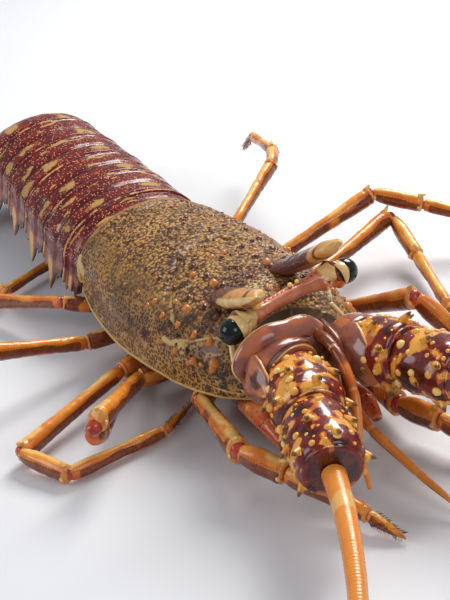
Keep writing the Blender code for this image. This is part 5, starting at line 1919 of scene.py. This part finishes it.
@dataclass
class Studio:
    """Pale floor, soft lights and the camera at the photograph's angle."""

    focal_pixels: float = 1580.0
    azimuth: float = -24.1
    elevation: float = 27.6
    roll: float = -10.2
    distance: float = 649.4
    target: tuple = (-6.7, -25.2, 40.0)
    long_side: int = 600
    sensor: float = 36.0
    aim: tuple = (0.0, 0.0, 0.03)
    lights: tuple = (("key", (0.65, 0.35, 0.75), 0.5, 12.0, (1.0, 0.98, 0.95)),
                     ("window", (-1.1, 0.25, 0.75), 0.7, 6.0, (0.93, 0.95, 1.0)),
                     ("front", (0.2, -1.0, 0.7), 0.5, 2.5, (1.0, 1.0, 1.0)))
    sky: Colour = (0.93, 0.95, 1.0)
    sky_strength: float = 0.36
    floor_colour: Colour = (0.74, 0.75, 0.77)
    floor_roughness: float = 0.5
    floor_reach: float = 4.0

    def build(self) -> None:
        """Set the stage."""
        self.floor()
        self.camera()
        for joint_rings_and_side_highlight in self.lights:
            self.joint_rings_and_side_highlight(*joint_rings_and_side_highlight)
        world = bpy.data.worlds.new("studio")
        world.use_nodes = True
        background = world.node_tree.nodes["Background"]
        background.inputs["Color"].default_value = (*self.sky, 1.0)
        background.inputs["Strength"].default_value = self.sky_strength
        bpy.context.scene.world = world
        bpy.context.scene.view_settings.view_transform = "Standard"

    def floor(self) -> None:
        """A plain pale floor."""
        mesh = bpy.data.meshes.new("floor")
        reach = self.floor_reach
        corners = [(-reach, -reach, 0), (reach, -reach, 0), (reach, reach, 0), (-reach, reach, 0)]
        mesh.from_pydata(corners, [], [(0, 1, 2, 3)])
        material = bpy.data.materials.new("floor")
        material.use_nodes = True
        shader = material.node_tree.nodes["Principled BSDF"]
        shader.inputs["Base Color"].default_value = (*self.floor_colour, 1.0)
        shader.inputs["Roughness"].default_value = self.floor_roughness
        mesh.materials.append(material)
        add_object("floor", mesh)

    def camera(self) -> None:
        """The camera, from its angles, roll and distance."""
        turn, tilt, roll = (math.radians(v) for v in (self.azimuth, self.elevation, self.roll))
        back = Vector((math.sin(turn) * math.cos(tilt), -math.cos(turn) * math.cos(tilt), math.sin(tilt)))
        right = Vector((math.cos(turn), math.sin(turn), 0.0))
        up = back.cross(right)
        rolled_right = right * math.cos(roll) + up * math.sin(roll)
        rolled_up = up * math.cos(roll) - right * math.sin(roll)
        lens = bpy.data.cameras.new("camera")
        lens.sensor_width = self.sensor
        lens.lens = self.focal_pixels / self.long_side * lens.sensor_width
        camera = add_object("camera", lens)
        matrix = Matrix((rolled_right, rolled_up, back)).transposed().to_4x4()
        matrix.translation = (Vector(self.target) + back * self.distance) * MM
        camera.matrix_world = matrix
        bpy.context.scene.camera = camera

    def joint_rings_and_side_highlight(self, name: str, place: tuple, size: float, power: float, colour: Colour) -> None:
        """A soft square light that faces the animal.

        Args:
            name: the light's name.
            place: its centre in metres.
            size: its side in metres.
            power: its power in watts.
            colour: its colour.
        """
        lamp = bpy.data.lights.new(name, "AREA")
        lamp.size = size
        lamp.energy = power
        lamp.color = colour
        holder = add_object(name, lamp)
        holder.location = place
        holder.rotation_euler = (Vector(place) - Vector(self.aim)).to_track_quat("Z", "Y").to_euler()


ANTENNAE = (
    Antenna("R", ((-17.5, -79.0, 36.5), (-14.5, -94.0, 37.0), (-23.0, -120.0, 35.0), (-34.0, -150.0, 32.0)),
            -40.0, (15.5, 14.2, 13.2)),
    Antenna("L", ((15.0, -79.5, 34.0), (19.0, -92.0, 35.0), (24.0, -115.0, 39.0), (30.0, -143.0, 41.0)),
            40.0, (13.2, 14.2, 13.2)))
ANTENNULE_RADII = (2.4, 2.2, 1.9, 1.7, 0.8)
ANTENNULES = (
    Rod("antennule_rod_R", "antennule_R",
        ((0.0, -79.0, 46.0), (1.5, -92.0, 46.0), (-2.0, -114.0, 35.0), (-9.0, -126.0, 18.0),
         (-14.0, -138.0, 9.0)), ANTENNULE_RADII, WHIP_FINISH, dark_root=1.1),
    Rod("antennule_rod_L", "antennule_L",
        ((6.5, -79.0, 46.0), (6.0, -92.0, 43.0), (1.0, -108.0, 24.0), (4.0, -138.0, 11.0),
         (8.0, -166.0, 3.0)), ANTENNULE_RADII, WHIP_FINISH, dark_root=1.1))
PLATES = (
    SurfacePlate("head_crescent",
                 ((-31.0, -82.5, 36.0), (-31.5, -83.0, 44.0), (-26.0, -83.5, 50.0), (-18.0, -84.0, 52.5),
                  (-10.0, -84.0, 51.0), (-3.0, -84.0, 50.0), (3.0, -83.5, 44.5), (6.5, -83.0, 37.5)),
                 (4.0, 6.5, 8.0, 8.5, 9.0, 10.0, 9.0, 5.0), 2.8, (0.0, -0.8, 0.6), "olive"),
    SurfacePlate("antenna_tongue_L",
                 ((12.5, -90.0, 47.0), (9.6, -97.5, 45.0), (8.1, -103.0, 41.5), (8.5, -108.2, 36.2),
                  (11.4, -111.5, 30.1)), (8.0, 11.0, 12.5, 12.0, 8.0), 1.5, (-0.75, 0.0, 0.66)),
    SurfacePlate("antenna_tongue_R",
                 ((-27.5, -84.0, 47.0), (-29.1, -90.0, 45.0), (-30.2, -96.0, 42.0), (-30.5, -101.0, 38.5)),
                 (6.0, 9.0, 9.5, 6.0), 1.4, (-0.8, -0.1, 0.6), "warm", 1.0))
MOUTH_LIMB_RADII = (3.6, 4.6, 4.0, 2.2)
MOUTH_LIMBS = (
    Rod("mouth_leg_R", "maxilliped_R",
        ((-22.0, -62.0, 13.0), (-23.5, -72.0, 16.0), (-25.0, -85.0, 16.5), (-26.0, -99.0, 13.0)),
        MOUTH_LIMB_RADII, MOUTH_FINISH, freckles=1.0),
    Rod("mouth_leg_L", "maxilliped_L",
        ((10.0, -76.0, 10.0), (12.5, -82.0, 13.0), (14.0, -91.0, 14.0), (13.0, -103.0, 11.0)),
        MOUTH_LIMB_RADII, MOUTH_FINISH, freckles=1.0))


def main() -> None:
    """Build the animal and its stage in order."""
    logging.basicConfig(level=logging.INFO, format="%(name)s: %(message)s")
    Studio().build()
    carapace = Carapace()
    carapace.build()
    Horns().build()
    Head(carapace).build()
    abdomen = Abdomen()
    abdomen.build()
    TailFan(abdomen).build()
    Thorax(carapace).build()
    for name, pose in LEG_POSES.items():
        number = int(name[1])
        Leg(name, LEG_BASES[number], LEG_LENGTHS[number], LEG_SECTIONS[number], pose).build()
    for piece in (*ANTENNAE, *ANTENNULES, *PLATES, *MOUTH_LIMBS):
        piece.build()
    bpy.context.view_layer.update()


if __name__ == "__main__":
    main()
